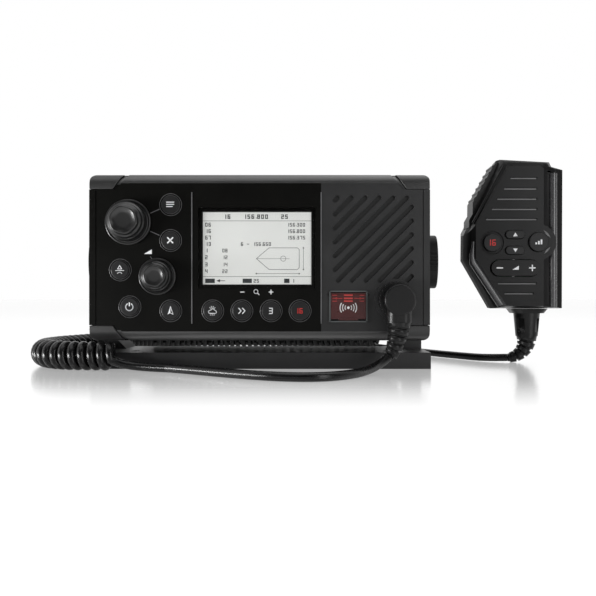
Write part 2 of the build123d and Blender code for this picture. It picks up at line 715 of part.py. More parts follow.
for knob_name, knob_x, knob_z, flange_r, grip_r, cap_r, reach in KNOBS:
    shaft_tip = reach - 2.6
    with BuildPart() as knob:
        # half section in the plane of the knob's axis: x outwards, y towards the user
        axis_plane = Plane(origin=(knob_x, FRONT_Y, PIVOT_Z + knob_z), x_dir=(1, 0, 0),
                           z_dir=(0, 0, -1))
        with BuildSketch(axis_plane):
            with BuildLine():
                low = KNOB_LIFT + KNOB_FLANGE_T
                Polyline((SHAFT_R + RUNNING, KNOB_LIFT), (flange_r - 0.5, KNOB_LIFT),
                         (flange_r, KNOB_LIFT + 0.5), (flange_r, low - 0.4),
                         (flange_r - 0.4, low), (grip_r, low + 0.5),
                         (grip_r - 0.8, reach * 0.62), (cap_r + 1.2, reach * 0.78),
                         (cap_r + 0.3, reach - 1.0), (cap_r - 0.3, reach),
                         (cap_r - 1.2, reach), (cap_r - 1.6, reach - KNOB_DISH),
                         (0, reach - KNOB_DISH), (0, shaft_tip + 0.3),
                         (SHAFT_R + RUNNING, shaft_tip + 0.3), close=True)
            make_face()
        revolve(axis=Axis((knob_x, FRONT_Y, PIVOT_Z + knob_z), (0, 1, 0)))
    save(f"{knob_name}_knob", knob)

    with BuildPart() as shaft:
        with BuildSketch(face(-shaft_tip)):
            with Locations((knob_x, knob_z)):
                Circle(SHAFT_R)
        extrude(amount=-(shaft_tip + COLLAR_FRONT + SHAFT_COLLAR_T))
        with BuildSketch(face(COLLAR_FRONT)):
            with Locations((knob_x, knob_z)):
                Circle(SHAFT_COLLAR_R)
        extrude(amount=-SHAFT_COLLAR_T)
    save(f"{knob_name}_shaft", shaft)

    with BuildPart() as encoder:
        with BuildSketch(face(BOARD_DEPTH)):
            with Locations((knob_x, knob_z)):
                Rectangle(ENCODER_SIZE, ENCODER_SIZE)
        extrude(amount=BOARD_DEPTH - FACE_WALL)
        with BuildSketch(face(COLLAR_FRONT)):
            with Locations((knob_x, knob_z)):
                Circle(SHAFT_R + RUNNING)
        extrude(amount=COLLAR_FRONT, mode=Mode.SUBTRACT)
        with BuildSketch(face(COLLAR_FRONT)):
            with Locations((knob_x, knob_z)):
                Circle(SHAFT_COLLAR_R + GAP)
        extrude(amount=-(SHAFT_COLLAR_T + KNOB_TRAVEL + 0.2), mode=Mode.SUBTRACT)
    save(f"{knob_name}_encoder", encoder)

# =========================================================================
# Loudspeaker
# =========================================================================
with BuildPart() as speaker_driver:
    speaker_plane = Plane(origin=(SPEAKER_X, FRONT_Y, PIVOT_Z + SPEAKER_Z), x_dir=(1, 0, 0),
                          z_dir=(0, 0, -1))
    with BuildSketch(speaker_plane):
        with BuildLine():
            Polyline((0, -FACE_WALL), (SPEAKER_R, -FACE_WALL), (SPEAKER_R, -FACE_WALL - 3.0),
                     (MAGNET_R + 3.0, -FACE_WALL - 9.0), (MAGNET_R, -FACE_WALL - 10.0),
                     (MAGNET_R, -SPEAKER_DEPTH), (0, -SPEAKER_DEPTH), close=True)
        make_face()
    revolve(axis=Axis((SPEAKER_X, FRONT_Y, PIVOT_Z + SPEAKER_Z), (0, 1, 0)))

save("speaker_driver", speaker_driver)

# =========================================================================
# Distress key, its flap and the flap's pin
# =========================================================================
with BuildPart() as distress_hinge_pin:
    with BuildSketch(side(DISTRESS_X - DISTRESS_W / 2 - PIN_SEAT)):
        with Locations((FRONT_Y, PIVOT_Z + HINGE_Z)):
            Circle(PIN_R)
    extrude(amount=DISTRESS_W + 2 * PIN_SEAT)

save("distress_hinge_pin", distress_hinge_pin)

with BuildPart() as distress_cover:
    with BuildSketch(face(FLAP_T - FLAP_PROUD)):
        with Locations((DISTRESS_X, (HINGE_Z + FLAP_BOTTOM) / 2)):
            Rectangle(FLAP_W, HINGE_Z - FLAP_BOTTOM)
    extrude(amount=FLAP_T)
    with BuildSketch(face(FLAP_TAB_T / 2 - FLAP_PROUD)):
        with Locations((DISTRESS_X, FLAP_BOTTOM)):
            Rectangle(FLAP_TAB_W, FLAP_TAB_H)
    extrude(amount=FLAP_TAB_T)
    with BuildSketch(side(DISTRESS_X - FLAP_W / 2)):
        with Locations((FRONT_Y, PIVOT_Z + HINGE_Z)):
            Circle(BARREL_R)
    extrude(amount=FLAP_W)
    with BuildSketch(side(DISTRESS_X - FLAP_W / 2)):
        with Locations((FRONT_Y, PIVOT_Z + HINGE_Z)):
            Circle(PIN_R + RUNNING)
    extrude(amount=FLAP_W, mode=Mode.SUBTRACT)

save("distress_cover", distress_cover)

BUTTON_END = SWITCH_FACE - BUTTON_TRAVEL - SWITCH_REST

with BuildPart() as distress_button:
    with BuildSketch(face(BUTTON_DEPTH + BUTTON_T)):
        with Locations((DISTRESS_X, DISTRESS_MID_Z)):
            RectangleRounded(BUTTON_W, BUTTON_H, BUTTON_CORNER)
    extrude(amount=BUTTON_T)
    with BuildSketch(face(BUTTON_END)):
        with Locations((DISTRESS_X, DISTRESS_MID_Z)):
            Rectangle(STEM_W, STEM_H)
    extrude(amount=BUTTON_END - BUTTON_DEPTH - BUTTON_T)

save("distress_button", distress_button)

# =========================================================================
# Microphone socket, elbow plug and its boot
# =========================================================================
with BuildPart() as mic_socket:
    with BuildSketch(face(SOCKET_LENGTH)):
        with Locations((SOCKET_X, SOCKET_Z)):
            Circle(SOCKET_R)
    extrude(amount=SOCKET_LENGTH + SOCKET_PROUD)
    with BuildSketch(face(FACE_WALL + SOCKET_FLANGE_T)):
        with Locations((SOCKET_X, SOCKET_Z)):
            Circle(SOCKET_FLANGE_R)
    extrude(amount=SOCKET_FLANGE_T)
    with BuildSketch(face(PLUG_NOSE + PLUG_LIFT)):
        with Locations((SOCKET_X, SOCKET_Z)):
            Circle(SOCKET_BORE_R)
    extrude(amount=PLUG_NOSE + PLUG_LIFT + SOCKET_PROUD, mode=Mode.SUBTRACT)

save("mic_socket", mic_socket)

NECK_Y = FRONT_Y - NECK_AXIS
PLUG_Z = PIVOT_Z + SOCKET_Z

with BuildPart() as plug_body:
    with BuildSketch(face(PLUG_NOSE)):
        with Locations((SOCKET_X, SOCKET_Z)):
            Circle(PLUG_NOSE_R)
    extrude(amount=PLUG_NOSE + PLUG_LIFT)
    with BuildSketch(face(-PLUG_LIFT)):
        with Locations((SOCKET_X, SOCKET_Z)):
            Circle(PLUG_R)
    extrude(amount=PLUG_REACH - PLUG_CAP_T - PLUG_LIFT)
    with BuildSketch(face(-PLUG_REACH + PLUG_CAP_T)):
        with Locations((SOCKET_X, SOCKET_Z)):
            Circle(PLUG_CAP_R)
    extrude(amount=PLUG_CAP_T)
    fillet(plug_body.edges().filter_by(GeomType.CIRCLE).sort_by(Axis.Y)[0], PLUG_EDGE)
    with BuildSketch(Plane.XY.offset(NECK_BOTTOM)):
        with Locations((SOCKET_X, NECK_Y)):
            RectangleRounded(NECK_W, NECK_D, NECK_D / 2 - 0.2)
    extrude(amount=PLUG_Z - NECK_BOTTOM)

save("plug_body", plug_body)

with BuildPart() as plug_coupling_ring:
    with BuildSketch(face(-COUPLING_BACK)):
        with Locations((SOCKET_X, SOCKET_Z)):
            Circle(COUPLING_R)
            with PolarLocations(COUPLING_R + COUPLING_FLUTE_R / 3, COUPLING_RIBS):
                Circle(COUPLING_FLUTE_R, mode=Mode.SUBTRACT)
            Circle(PLUG_R + RUNNING, mode=Mode.SUBTRACT)
    extrude(amount=COUPLING_FRONT - COUPLING_BACK)

save("plug_coupling_ring", plug_coupling_ring)


def boot_sections(path, start_r, end_r, ribs):
    """Round sections of a tapered boot along a path: thick ribs with grooves between them."""
    pitch = 1.0 / ribs
    stations = []
    for index in range(ribs):
        rib_start = index * pitch
        rib_end = rib_start + pitch * BOOT_RIB_SHARE
        stations += [(rib_start, 0.0), (rib_end, 0.0)]
        stations += [(rib_end + 0.01, BOOT_GROOVE), (rib_start + pitch - 0.01, BOOT_GROOVE)]
    stations[-1] = (1.0, BOOT_GROOVE)
    sections = []
    for share, groove in stations:
        radius = start_r + (end_r - start_r) * share
        with BuildSketch(Plane(path @ share, z_dir=path % share)) as section:
            Circle(max(radius - groove, CORD_R + RUNNING))
        sections.append(section.sketch)
    return sections


PLUG_BOOT_ROUTE = (
    [(SOCKET_X, NECK_Y, NECK_BOTTOM), (SOCKET_X - 1.6, NECK_Y - 0.4, NECK_BOTTOM - 9.5),
     PLUG_BOOT_END],
    [(0, 0, -1), (-0.72, -0.5, -0.5)],
)

with BuildPart() as plug_boot:
    with BuildLine() as plug_bend:
        Spline(*PLUG_BOOT_ROUTE[0], tangents=PLUG_BOOT_ROUTE[1])
    loft(boot_sections(plug_bend.line, PLUG_BOOT_R[0], PLUG_BOOT_R[1], BOOT_RIBS), ruled=True)

save("plug_boot", plug_boot)

# =========================================================================
# Chassis, its gasket, boards, rear heatsink and connectors
# =========================================================================
with BuildPart() as housing_gasket:
    with BuildSketch(face(BODY_FRONT)):
        Rectangle(FLANGE_W - 2 * GASKET_EDGE, FLANGE_H - 2 * GASKET_EDGE)
        Rectangle(BODY_W + 2 * GASKET_CLEAR_X, BODY_H + 2 * GASKET_CLEAR_Z, mode=Mode.SUBTRACT)
        with GridLocations(2 * FACE_SCREW_X, 2 * FACE_SCREW_Z, 2, 2):
            Circle(SCREW_R, mode=Mode.SUBTRACT)
    extrude(amount=GASKET_T)

save("housing_gasket", housing_gasket)

KEEL_PROFILE = [(KEEL_FRONT_Y, BODY_FLOOR_Z + 1.0), (KEEL_FRONT_Y, KEEL_BOTTOM),
                (KEEL_BACK_Y, BODY_FLOOR_Z), (KEEL_BACK_Y, BODY_FLOOR_Z + 1.0)]
KEEL_COUNT = int((KEEL_RIGHT - KEEL_LEFT) / KEEL_PITCH) + 1
BOARD_Z = BODY_FLOOR_Z + BODY_WALL + STANDOFF
MAIN_BOARD_Y = FRONT_Y + BODY_MID
REAR_POST = 8.0
REAR_POST_X = BODY_W / 2 - BODY_WALL - REAR_POST / 2
REAR_POST_Z = BODY_H / 2 - BODY_WALL - REAR_POST / 2

with BuildPart() as chassis:
    with BuildSketch(face(BODY_BACK)):
        Rectangle(BODY_W, BODY_H)
    extrude(amount=BODY_BACK - BODY_FRONT)
    with BuildSketch(face(BODY_FRONT + FLANGE_T)):
        Rectangle(FLANGE_W, FLANGE_H)
    extrude(amount=FLANGE_T)
    with BuildSketch(face(BODY_BACK)):
        Rectangle(BODY_W - 2 * BODY_WALL, BODY_H - 2 * BODY_WALL)
    extrude(amount=BODY_BACK - BODY_FRONT, mode=Mode.SUBTRACT)
    # posts for the rear screws
    with BuildSketch(face(BODY_BACK)):
        with GridLocations(2 * REAR_POST_X, 2 * REAR_POST_Z, 2, 2):
            Rectangle(REAR_POST, REAR_POST)
    extrude(amount=SCREW_LENGTH + 2.0)
    with BuildSketch(face(BODY_BACK)):
        with GridLocations(2 * REAR_POST_X, 2 * REAR_POST_Z, 2, 2):
            Circle(SCREW_R)
    extrude(amount=SCREW_LENGTH, mode=Mode.SUBTRACT)
    with BuildSketch(face(BODY_FRONT + FLANGE_T)):
        with GridLocations(2 * FACE_SCREW_X, 2 * FACE_SCREW_Z, 2, 2):
            Circle(SCREW_R)
    extrude(amount=FLANGE_T, mode=Mode.SUBTRACT)
    # standoffs under the main board
    with BuildSketch(Plane.XY.offset(BODY_FLOOR_Z + BODY_WALL)):
        with Locations((0, MAIN_BOARD_Y)):
            with GridLocations(MAIN_BOARD_W - 2 * STANDOFF_INSET, MAIN_BOARD_D - 2 * STANDOFF_INSET,
                               2, 2):
                Circle(STANDOFF_R)
    extrude(amount=STANDOFF)
    # pivot bosses, bored for the clamp studs
    for inner, outer in ((-BOSS_INNER_X, -BOSS_FACE_X), (BOSS_INNER_X, BOSS_FACE_X)):
        with BuildSketch(side(inner)):
            with Locations((0, PIVOT_Z)):
                Circle(BOSS_R)
        extrude(amount=outer - inner)
        with BuildSketch(side(outer)):
            with Locations((0, PIVOT_Z)):
                Circle(STUD_R + RUNNING)
        extrude(amount=math.copysign(BOSS_FACE_X - STUD_END_X + 1.0, -outer),
                mode=Mode.SUBTRACT)
    # cooling fins under the body
    for index in range(KEEL_COUNT):
        with BuildSketch(side(KEEL_LEFT + index * KEEL_PITCH - KEEL_T / 2)):
            with BuildLine():
                Polyline(*KEEL_PROFILE, close=True)
            make_face()
        extrude(amount=KEEL_T)

save("chassis", chassis)

with BuildPart() as main_board:
    with BuildSketch(Plane.XY.offset(BOARD_Z)):
        with Locations((0, MAIN_BOARD_Y)):
            Rectangle(MAIN_BOARD_W, MAIN_BOARD_D)
    extrude(amount=BOARD_T)
    for block_x, block_y, block_w, block_d, block_h in (SHIELD_CAN, POWER_STAGE):
        with BuildSketch(Plane.XY.offset(BOARD_Z + BOARD_T)):
            with Locations((block_x, MAIN_BOARD_Y + block_y)):
                Rectangle(block_w, block_d)
        extrude(amount=block_h)
    can_x, can_y, can_r, can_h = CAPACITOR
    with BuildSketch(Plane.XY.offset(BOARD_Z + BOARD_T)):
        with Locations((can_x, MAIN_BOARD_Y + can_y)):
            with GridLocations(CAPACITOR_PITCH, 0, 3, 1):
                Circle(can_r)
    extrude(amount=can_h)

save("main_board", main_board)

CONNECTORS = [
    ("antenna_socket", ANTENNA_X, ANTENNA_R, ANTENNA_BORE_R),
    ("network_socket", NETWORK_X, NETWORK_R, NETWORK_BORE_R),
    ("power_inlet", POWER_X, POWER_R, POWER_BORE_R),
]
REAR_FACE = BODY_BACK + REAR_T
REAR_FIN_LOW = CONNECTOR_Z + CONNECTOR_CLEAR
REAR_FIN_HIGH = BODY_H / 2 - REAR_FIN_EDGE
REAR_FIN_COUNT = 2 * int((REAR_POST_X - REAR_POST) / REAR_FIN_PITCH) + 1

with BuildPart() as rear_heatsink:
    with BuildSketch(face(REAR_FACE)):
        Rectangle(BODY_W, BODY_H)
    extrude(amount=REAR_T)
    with BuildSketch(face(REAR_FACE + REAR_FIN)):
        with Locations((0, (REAR_FIN_LOW + REAR_FIN_HIGH) / 2)):
            with GridLocations(REAR_FIN_PITCH, 0, REAR_FIN_COUNT, 1):
                Rectangle(REAR_FIN_T, REAR_FIN_HIGH - REAR_FIN_LOW)
    extrude(amount=REAR_FIN)
    with BuildSketch(face(REAR_FACE)):
        with GridLocations(2 * REAR_POST_X, 2 * REAR_POST_Z, 2, 2):
            Circle(SCREW_R)
        for _, connector_x, connector_r, _ in CONNECTORS:
            with Locations((connector_x, CONNECTOR_Z)):
                Circle(connector_r)
    extrude(amount=REAR_T, mode=Mode.SUBTRACT)

save("rear_heatsink", rear_heatsink)

for connector_name, connector_x, connector_r, bore_r in CONNECTORS:
    with BuildPart() as connector:
        with BuildSketch(face(REAR_FACE + CONNECTOR_REACH)):
            with Locations((connector_x, CONNECTOR_Z)):
                Circle(connector_r)
        extrude(amount=CONNECTOR_REACH + REAR_T + CONNECTOR_TAIL)
        flange_side = 2 * (connector_r + CONNECTOR_FLANGE_RIM)
        with BuildSketch(face(REAR_FACE + CONNECTOR_FLANGE_T)):
            with Locations((connector_x, CONNECTOR_Z)):
                Rectangle(flange_side, flange_side)
                Circle(connector_r, mode=Mode.SUBTRACT)
        extrude(amount=CONNECTOR_FLANGE_T)
        with BuildSketch(face(REAR_FACE + CONNECTOR_REACH)):
            with Locations((connector_x, CONNECTOR_Z)):
                Circle(bore_r)
        extrude(amount=CONNECTOR_REACH, mode=Mode.SUBTRACT)
    save(connector_name, connector)

with BuildPart() as housing_screws:
    for head_depth, half_x, half_z, direction in (
            (CAP_DEPTH, FACE_SCREW_X, FACE_SCREW_Z, -1),
            (REAR_FACE + SCREW_HEAD_H, REAR_POST_X, REAR_POST_Z, 1)):
        with BuildSketch(face(head_depth)):
            with GridLocations(2 * half_x, 2 * half_z, 2, 2):
                Circle(SCREW_HEAD_R)
        extrude(amount=direction * SCREW_HEAD_H)
        with BuildSketch(face(head_depth)):
            with GridLocations(2 * half_x, 2 * half_z, 2, 2):
                Circle(SCREW_R)
        extrude(amount=direction * (SCREW_HEAD_H + SCREW_LENGTH))

save("housing_screws", housing_screws)

# =========================================================================
# Gimbal bracket, friction washers and clamp knobs
# =========================================================================
ARM_PROFILE = [(-ARM_HALF, 0), (-ARM_HALF, PIVOT_Z), (ARM_HALF, PIVOT_Z), (ARM_HALF, ARM_FOOT_TOP),
               (ARM_FOOT_BACK_Y, PLATE_TOP), (ARM_FOOT_BACK_Y, 0)]
DECK_MID_Y = (DECK_BACK_Y - BASE_LENGTH / 2) / 2
DECK_LENGTH = DECK_BACK_Y + BASE_LENGTH / 2

with BuildPart() as bracket:
    with BuildSketch(Plane.XY):
        RectangleRounded(BASE_W, BASE_LENGTH, BASE_CORNER)
    extrude(amount=PLATE_TOP)
    with BuildSketch(Plane.XY):
        with Locations((0, DECK_MID_Y)):
            Rectangle(BASE_W, DECK_LENGTH)
    extrude(amount=DECK_TOP)
    for arm_x in (-ARM_INNER_X - ARM_T, ARM_INNER_X):
        with BuildSketch(side(arm_x)):
            with BuildLine():
                Polyline(*ARM_PROFILE, close=True)
            make_face()
            with Locations((0, PIVOT_Z)):
                Circle(ARM_HALF)
        extrude(amount=ARM_T)
    # gussets inside the feet of the arms
    for hand in (-1, 1):
        with BuildSketch(Plane.XZ.offset(ARM_HALF)):
            with BuildLine():
                Polyline((hand * (ARM_INNER_X + 1.0), DECK_TOP - 1.0),
                         (hand * (ARM_INNER_X - GUSSET - 1.0), DECK_TOP - 1.0),
                         (hand * (ARM_INNER_X - GUSSET), DECK_TOP),
                         (hand * ARM_INNER_X, DECK_TOP + GUSSET),
                         (hand * (ARM_INNER_X + 1.0), DECK_TOP + GUSSET), close=True)
            make_face()
        extrude(amount=-(ARM_HALF + DECK_BACK_Y))
    # screw holes, and pockets that lighten the deck from below
    with BuildSketch(Plane.XY):
        with GridLocations(BASE_HOLE_X, BASE_HOLE_Y, 2, 2):
            Circle(BASE_HOLE_R)
    extrude(amount=DECK_TOP, mode=Mode.SUBTRACT)
    with BuildSketch(Plane.XY):
        with Locations((0, DECK_BACK_Y - POCKET_L)):
            with GridLocations(POCKET_W + POCKET_RIB, 0, 5, 1):
                Rectangle(POCKET_W, POCKET_L)
        with Locations((0, DECK_BACK_Y - 2 * POCKET_L - 6.0)):
            with GridLocations(POCKET_W + POCKET_RIB, 0, 4, 1):
                Rectangle(POCKET_W, POCKET_L)
    extrude(amount=POCKET_DEPTH, mode=Mode.SUBTRACT)
    # pivot holes
    for arm_x in (-ARM_INNER_X - ARM_T, ARM_INNER_X):
        with BuildSketch(side(arm_x)):
            with Locations((0, PIVOT_Z)):
                Circle(STUD_R + RUNNING)
        extrude(amount=ARM_T, mode=Mode.SUBTRACT)

save("bracket", bracket)

with BuildPart() as friction_washers:
    for start in (-BOSS_FACE_X - WASHER_T, BOSS_FACE_X):
        with BuildSketch(side(start)):
            with Locations((0, PIVOT_Z)):
                Circle(WASHER_R)
                Circle(STUD_R + RUNNING, mode=Mode.SUBTRACT)
        extrude(amount=WASHER_T)

save("friction_washers", friction_washers)

for knob_side, hand in (("left", -1), ("right", 1)):
    with BuildPart() as clamp_knob:
        # oval grip with a softened outer edge
        with BuildSketch(side(hand * CLAMP_INNER_X)):
            with Locations((0, PIVOT_Z)):
                Ellipse(CLAMP_HALF_D, CLAMP_HALF_H)
        extrude(amount=hand * CLAMP_T)
        outer_face = clamp_knob.faces().sort_by(Axis.X)[-1 if hand > 0 else 0]
        fillet(outer_face.edges(), CLAMP_EDGE)
        # grip grooves across the middle of its front and back
        with BuildSketch(side(hand * (CLAMP_INNER_X + CLAMP_GROOVE_START))):
            for index in range(CLAMP_GROOVES):
                height = (index - (CLAMP_GROOVES - 1) / 2) * CLAMP_GROOVE_PITCH
                reach = CLAMP_HALF_D * math.sqrt(1 - (height / CLAMP_HALF_H) ** 2)
                with Locations((-reach, PIVOT_Z + height), (reach, PIVOT_Z + height)):
                    Circle(CLAMP_GROOVE_R)
        extrude(amount=hand * CLAMP_T, mode=Mode.SUBTRACT)
        # steel stud, which runs through the arm into the boss
        with BuildSketch(side(hand * STUD_END_X)):
            with Locations((0, PIVOT_Z)):
                Circle(STUD_R)
        extrude(amount=hand * (CLAMP_INNER_X - STUD_END_X))
    save(f"clamp_knob_{knob_side}", clamp_knob)

# =========================================================================
# Fist microphone: shells
# =========================================================================
def mic_section(share):
    """Outline between the silhouette (share 0) and the flat front (share 1)."""
    return [(a[0] + (b[0] - a[0]) * share, a[1] + (b[1] - a[1]) * share)
            for a, b in zip(MIC_SILHOUETTE, MIC_FACE)]


FRONT_SECTIONS = [(MIC_PART, 0.0), (39.5, 0.13), (34.6, 0.5), (MIC_FRONT, 1.0)]
BACK_SECTIONS = [(MIC_PART, 0.0), (56.0, 0.1), (MIC_BACK, 0.45)]


def ptt(along, out):
    """Point beside the slanted edge: along it from its lower end, and out of the body."""
    ex = PTT_RUN[0] / PTT_LENGTH
    ez = PTT_RUN[1] / PTT_LENGTH
    return (PTT_START[0] + ex * along - ez * out, PTT_START[1] + ez * along + ex * out)


PTT_OPENING = [ptt(PTT_LOW - GAP, 8.0), ptt(PTT_HIGH + GAP, 8.0),
               ptt(PTT_HIGH + GAP, -PTT_INSIDE - 1.0), ptt(PTT_LOW - GAP, -PTT_INSIDE - 1.0)]
PTT_LUG = [ptt(PTT_PIN_S - PTT_LUG_HALF, PTT_PIN_H + PTT_LUG_OUT),
           ptt(PTT_PIN_S + PTT_LUG_HALF, PTT_PIN_H + PTT_LUG_OUT),
           ptt(PTT_PIN_S + PTT_LUG_HALF, PTT_PIN_H - PTT_LUG_IN),
           ptt(PTT_PIN_S - PTT_LUG_HALF, PTT_PIN_H - PTT_LUG_IN)]


def mic_shell(sections, wall):
    """Hollow half of the microphone's body, open at the joint between the halves."""
    with BuildPart() as shell:
        for depth, share in sections:
            with BuildSketch(mic(depth)):
                with BuildLine():
                    Polyline(*mic_section(share), close=True)
                make_face()
        loft(ruled=True)
        last = len(sections) - 1
        inward = math.copysign(wall, MIC_PART - sections[last][0])
        for index, (depth, share) in enumerate(sections):
            with BuildSketch(mic(depth + (inward if index == last else 0.0))):
                with BuildLine():
                    Polyline(*mic_section(share), close=True)
                make_face()
                offset(amount=-MIC_SIDE_WALL, kind=Kind.INTERSECTION)
        loft(ruled=True, mode=Mode.SUBTRACT)
    return shell.part


FRONT_SHELL_BLANK = mic_shell(FRONT_SECTIONS, MIC_WALL)
BACK_SHELL_BLANK = mic_shell(BACK_SECTIONS, MIC_WALL)
PIN_DEPTH = MIC_FRONT + ROCKER_PIN_DEPTH
PTT_PIN = ptt(PTT_PIN_S, PTT_PIN_H)
MIC_INNER = MIC_FRONT + MIC_WALL
ROCKER_LUG_LOW = ROCKER_H / 2 + ROCKER_GAP + 0.4
MIC_CHANNEL_LOW = MIC_SILHOUETTE[4][1] + MIC_SIDE_WALL
MIC_CHANNEL_HIGH = MIC_SILHOUETTE[3][1] - MIC_SIDE_WALL

with BuildPart() as handset_front_shell:
    add(FRONT_SHELL_BLANK)
    # long channel between the flat front and the rounded edge on the right
    with BuildSketch(Plane.XY):
        with BuildLine():
            Polyline(*[(x, FRONT_Y + depth) for x, depth in MIC_CHANNEL], close=True)
        make_face()
    extrude(amount=MIC_SILHOUETTE[0][1], mode=Mode.SUBTRACT)
    # backing behind the channel, the power key's boss, which stands over the channel, and the
    # screw bosses
    with BuildSketch(Plane.XY.offset(MIC_CHANNEL_LOW)):
        with BuildLine():
            Polyline(*[(x, FRONT_Y + depth) for x, depth in MIC_CHANNEL_BACK], close=True)
        make_face()
    extrude(amount=MIC_CHANNEL_HIGH - MIC_CHANNEL_LOW)
    with BuildSketch(mic(MIC_FRONT)):
        with Locations((MIC_HL_X, MIC_HL_Z)):
            Circle(MIC_BOSS_R)
        with Locations((MIC_HL_X - MIC_BOSS_R, MIC_HL_Z)):
            Rectangle(MIC_BOSS_R, 2 * MIC_BOSS_R, mode=Mode.SUBTRACT)
    extrude(amount=-(MIC_WALL + MIC_BOSS_T))
    with BuildSketch(mic(MIC_INNER + MIC_BOSS_T)):
        with Locations((MIC_HL_X, MIC_HL_Z)):
            Circle(MIC_HL_R + MIC_FLANGE_W + GAP)
    extrude(amount=MIC_BOSS_T, mode=Mode.SUBTRACT)
    with BuildSketch(mic(MIC_PART)):
        with Locations(*MIC_SCREWS):
            Circle(MIC_BOSS_WALL_R)
    extrude(amount=MIC_PART - MIC_BOSS_FRONT)
    # key holes
    with BuildSketch(mic(MIC_FRONT + MIC_DISH)):
        with Locations((MIC_16_X, MIC_16_Z)):
            Circle(MIC_POCKET_R)
    extrude(amount=MIC_DISH, mode=Mode.SUBTRACT)
    with BuildSketch(mic(MIC_INNER)):
        with Locations((MIC_16_X, MIC_16_Z)):
            Circle(MIC_16_R + GAP)
        with Locations((MIC_HL_X, MIC_HL_Z)):
            Circle(MIC_HL_R + GAP)
        with Locations((PILL_X, PILL_UP_Z), (PILL_X, PILL_DOWN_Z)):
            SlotOverall(PILL_W + 2 * GAP, PILL_H + 2 * GAP)
        with Locations((PILL_X, ROCKER_Z)):
            SlotOverall(ROCKER_W + 2 * ROCKER_GAP, ROCKER_H + 2 * ROCKER_GAP)
        for slot_left, slot_right, slot_z in MIC_SLOTS:
            with Locations(((slot_left + slot_right) / 2, slot_z)):
                SlotOverall(slot_right - slot_left, MIC_SLOT_W)
    extrude(amount=MIC_WALL, mode=Mode.SUBTRACT)
    # lugs for the rocker's pin
    with BuildSketch(mic(MIC_INNER + ROCKER_LUG_D)):
        with Locations((PILL_X, ROCKER_Z)):
            with GridLocations(0, 2 * ROCKER_LUG_LOW + ROCKER_LUG_T, 1, 2):
                Rectangle(ROCKER_LUG_W, ROCKER_LUG_T)
    extrude(amount=ROCKER_LUG_D)
    with BuildSketch(Plane.XY.offset(ROCKER_Z - ROCKER_LUG_LOW - ROCKER_LUG_T)):
        with Locations((PILL_X, FRONT_Y + PIN_DEPTH)):
            Circle(MIC_PIN_R)
    extrude(amount=2 * (ROCKER_LUG_LOW + ROCKER_LUG_T), mode=Mode.SUBTRACT)
    # lug and opening of the push-to-talk lever
    with BuildSketch(mic(PTT_FRONT - GAP)):
        with BuildLine():
            Polyline(*PTT_LUG, close=True)
        make_face()
    extrude(amount=LUG_T)
    with BuildSketch(mic(MIC_PART)):
        with BuildLine():
            Polyline(*PTT_OPENING, close=True)
        make_face()
    extrude(amount=MIC_PART - PTT_FRONT + GAP, mode=Mode.SUBTRACT)
    with BuildSketch(mic(PTT_FRONT)):
        with Locations(PTT_PIN):
            Circle(MIC_PIN_R)
    extrude(amount=LUG_T + GAP, mode=Mode.SUBTRACT)
    with BuildSketch(mic(MIC_PART)):
        with Locations(*MIC_SCREWS):
            Circle(MIC_SCREW_R)
    extrude(amount=MIC_SCREW_GRIP, mode=Mode.SUBTRACT)

save("handset_front_shell", handset_front_shell)

with BuildPart() as handset_back_shell:
    add(BACK_SHELL_BLANK)
    with BuildSketch(mic(MIC_PART)):
        with Locations(*MIC_SCREWS):
            Circle(MIC_BOSS_WALL_R)
    extrude(amount=-(MIC_BACK - MIC_PART - 1.0))
    with BuildSketch(mic(PTT_BACK + GAP)):
        with BuildLine():
            Polyline(*PTT_LUG, close=True)
        make_face()
    extrude(amount=-LUG_T)
    with BuildSketch(mic(MIC_PART)):
        with BuildLine():
            Polyline(*PTT_OPENING, close=True)
        make_face()
    extrude(amount=-(PTT_BACK + GAP - MIC_PART), mode=Mode.SUBTRACT)
    with BuildSketch(mic(PTT_BACK)):
        with Locations(PTT_PIN):
            Circle(MIC_PIN_R)
    extrude(amount=-(LUG_T + GAP), mode=Mode.SUBTRACT)
    with BuildSketch(mic(MIC_BACK)):
        with Locations(*MIC_SCREWS):
            Circle(MIC_SCREW_HEAD_R)
    extrude(amount=MIC_SCREW_HEAD_H, mode=Mode.SUBTRACT)
    with BuildSketch(mic(MIC_BACK)):
        with Locations(*MIC_SCREWS):
            Circle(MIC_SCREW_R)
    extrude(amount=MIC_BACK - MIC_PART, mode=Mode.SUBTRACT)

save("handset_back_shell", handset_back_shell)

with BuildPart() as handset_screws:
    with BuildSketch(mic(MIC_BACK)):
        with Locations(*MIC_SCREWS):
            Circle(MIC_SCREW_HEAD_R)
    extrude(amount=MIC_SCREW_HEAD_H)
    with BuildSketch(mic(MIC_BACK)):
        with Locations(*MIC_SCREWS):
            Circle(MIC_SCREW_R)
    extrude(amount=MIC_BACK - MIC_PART + MIC_SCREW_GRIP)

save("handset_screws", handset_screws)

with BuildPart() as hang_stud:
    with BuildSketch(mic(MIC_BACK)):
        with Locations((HANG_X, HANG_Z)):
            Circle(HANG_NECK_R)
    extrude(amount=-HANG_NECK)
    with BuildSketch(mic(MIC_BACK + HANG_NECK)):
        with Locations((HANG_X, HANG_Z)):
            Circle(HANG_HEAD_R)
    extrude(amount=-HANG_HEAD)

save("hang_stud", hang_stud)

# =========================================================================
# Fist microphone: keys, rocker and push-to-talk lever
# =========================================================================
MIC_SWITCH_FACE = MIC_BOARD - MIC_SWITCH_T
MIC_KEY_END = MIC_SWITCH_FACE - MIC_KEY_TRAVEL - SWITCH_REST


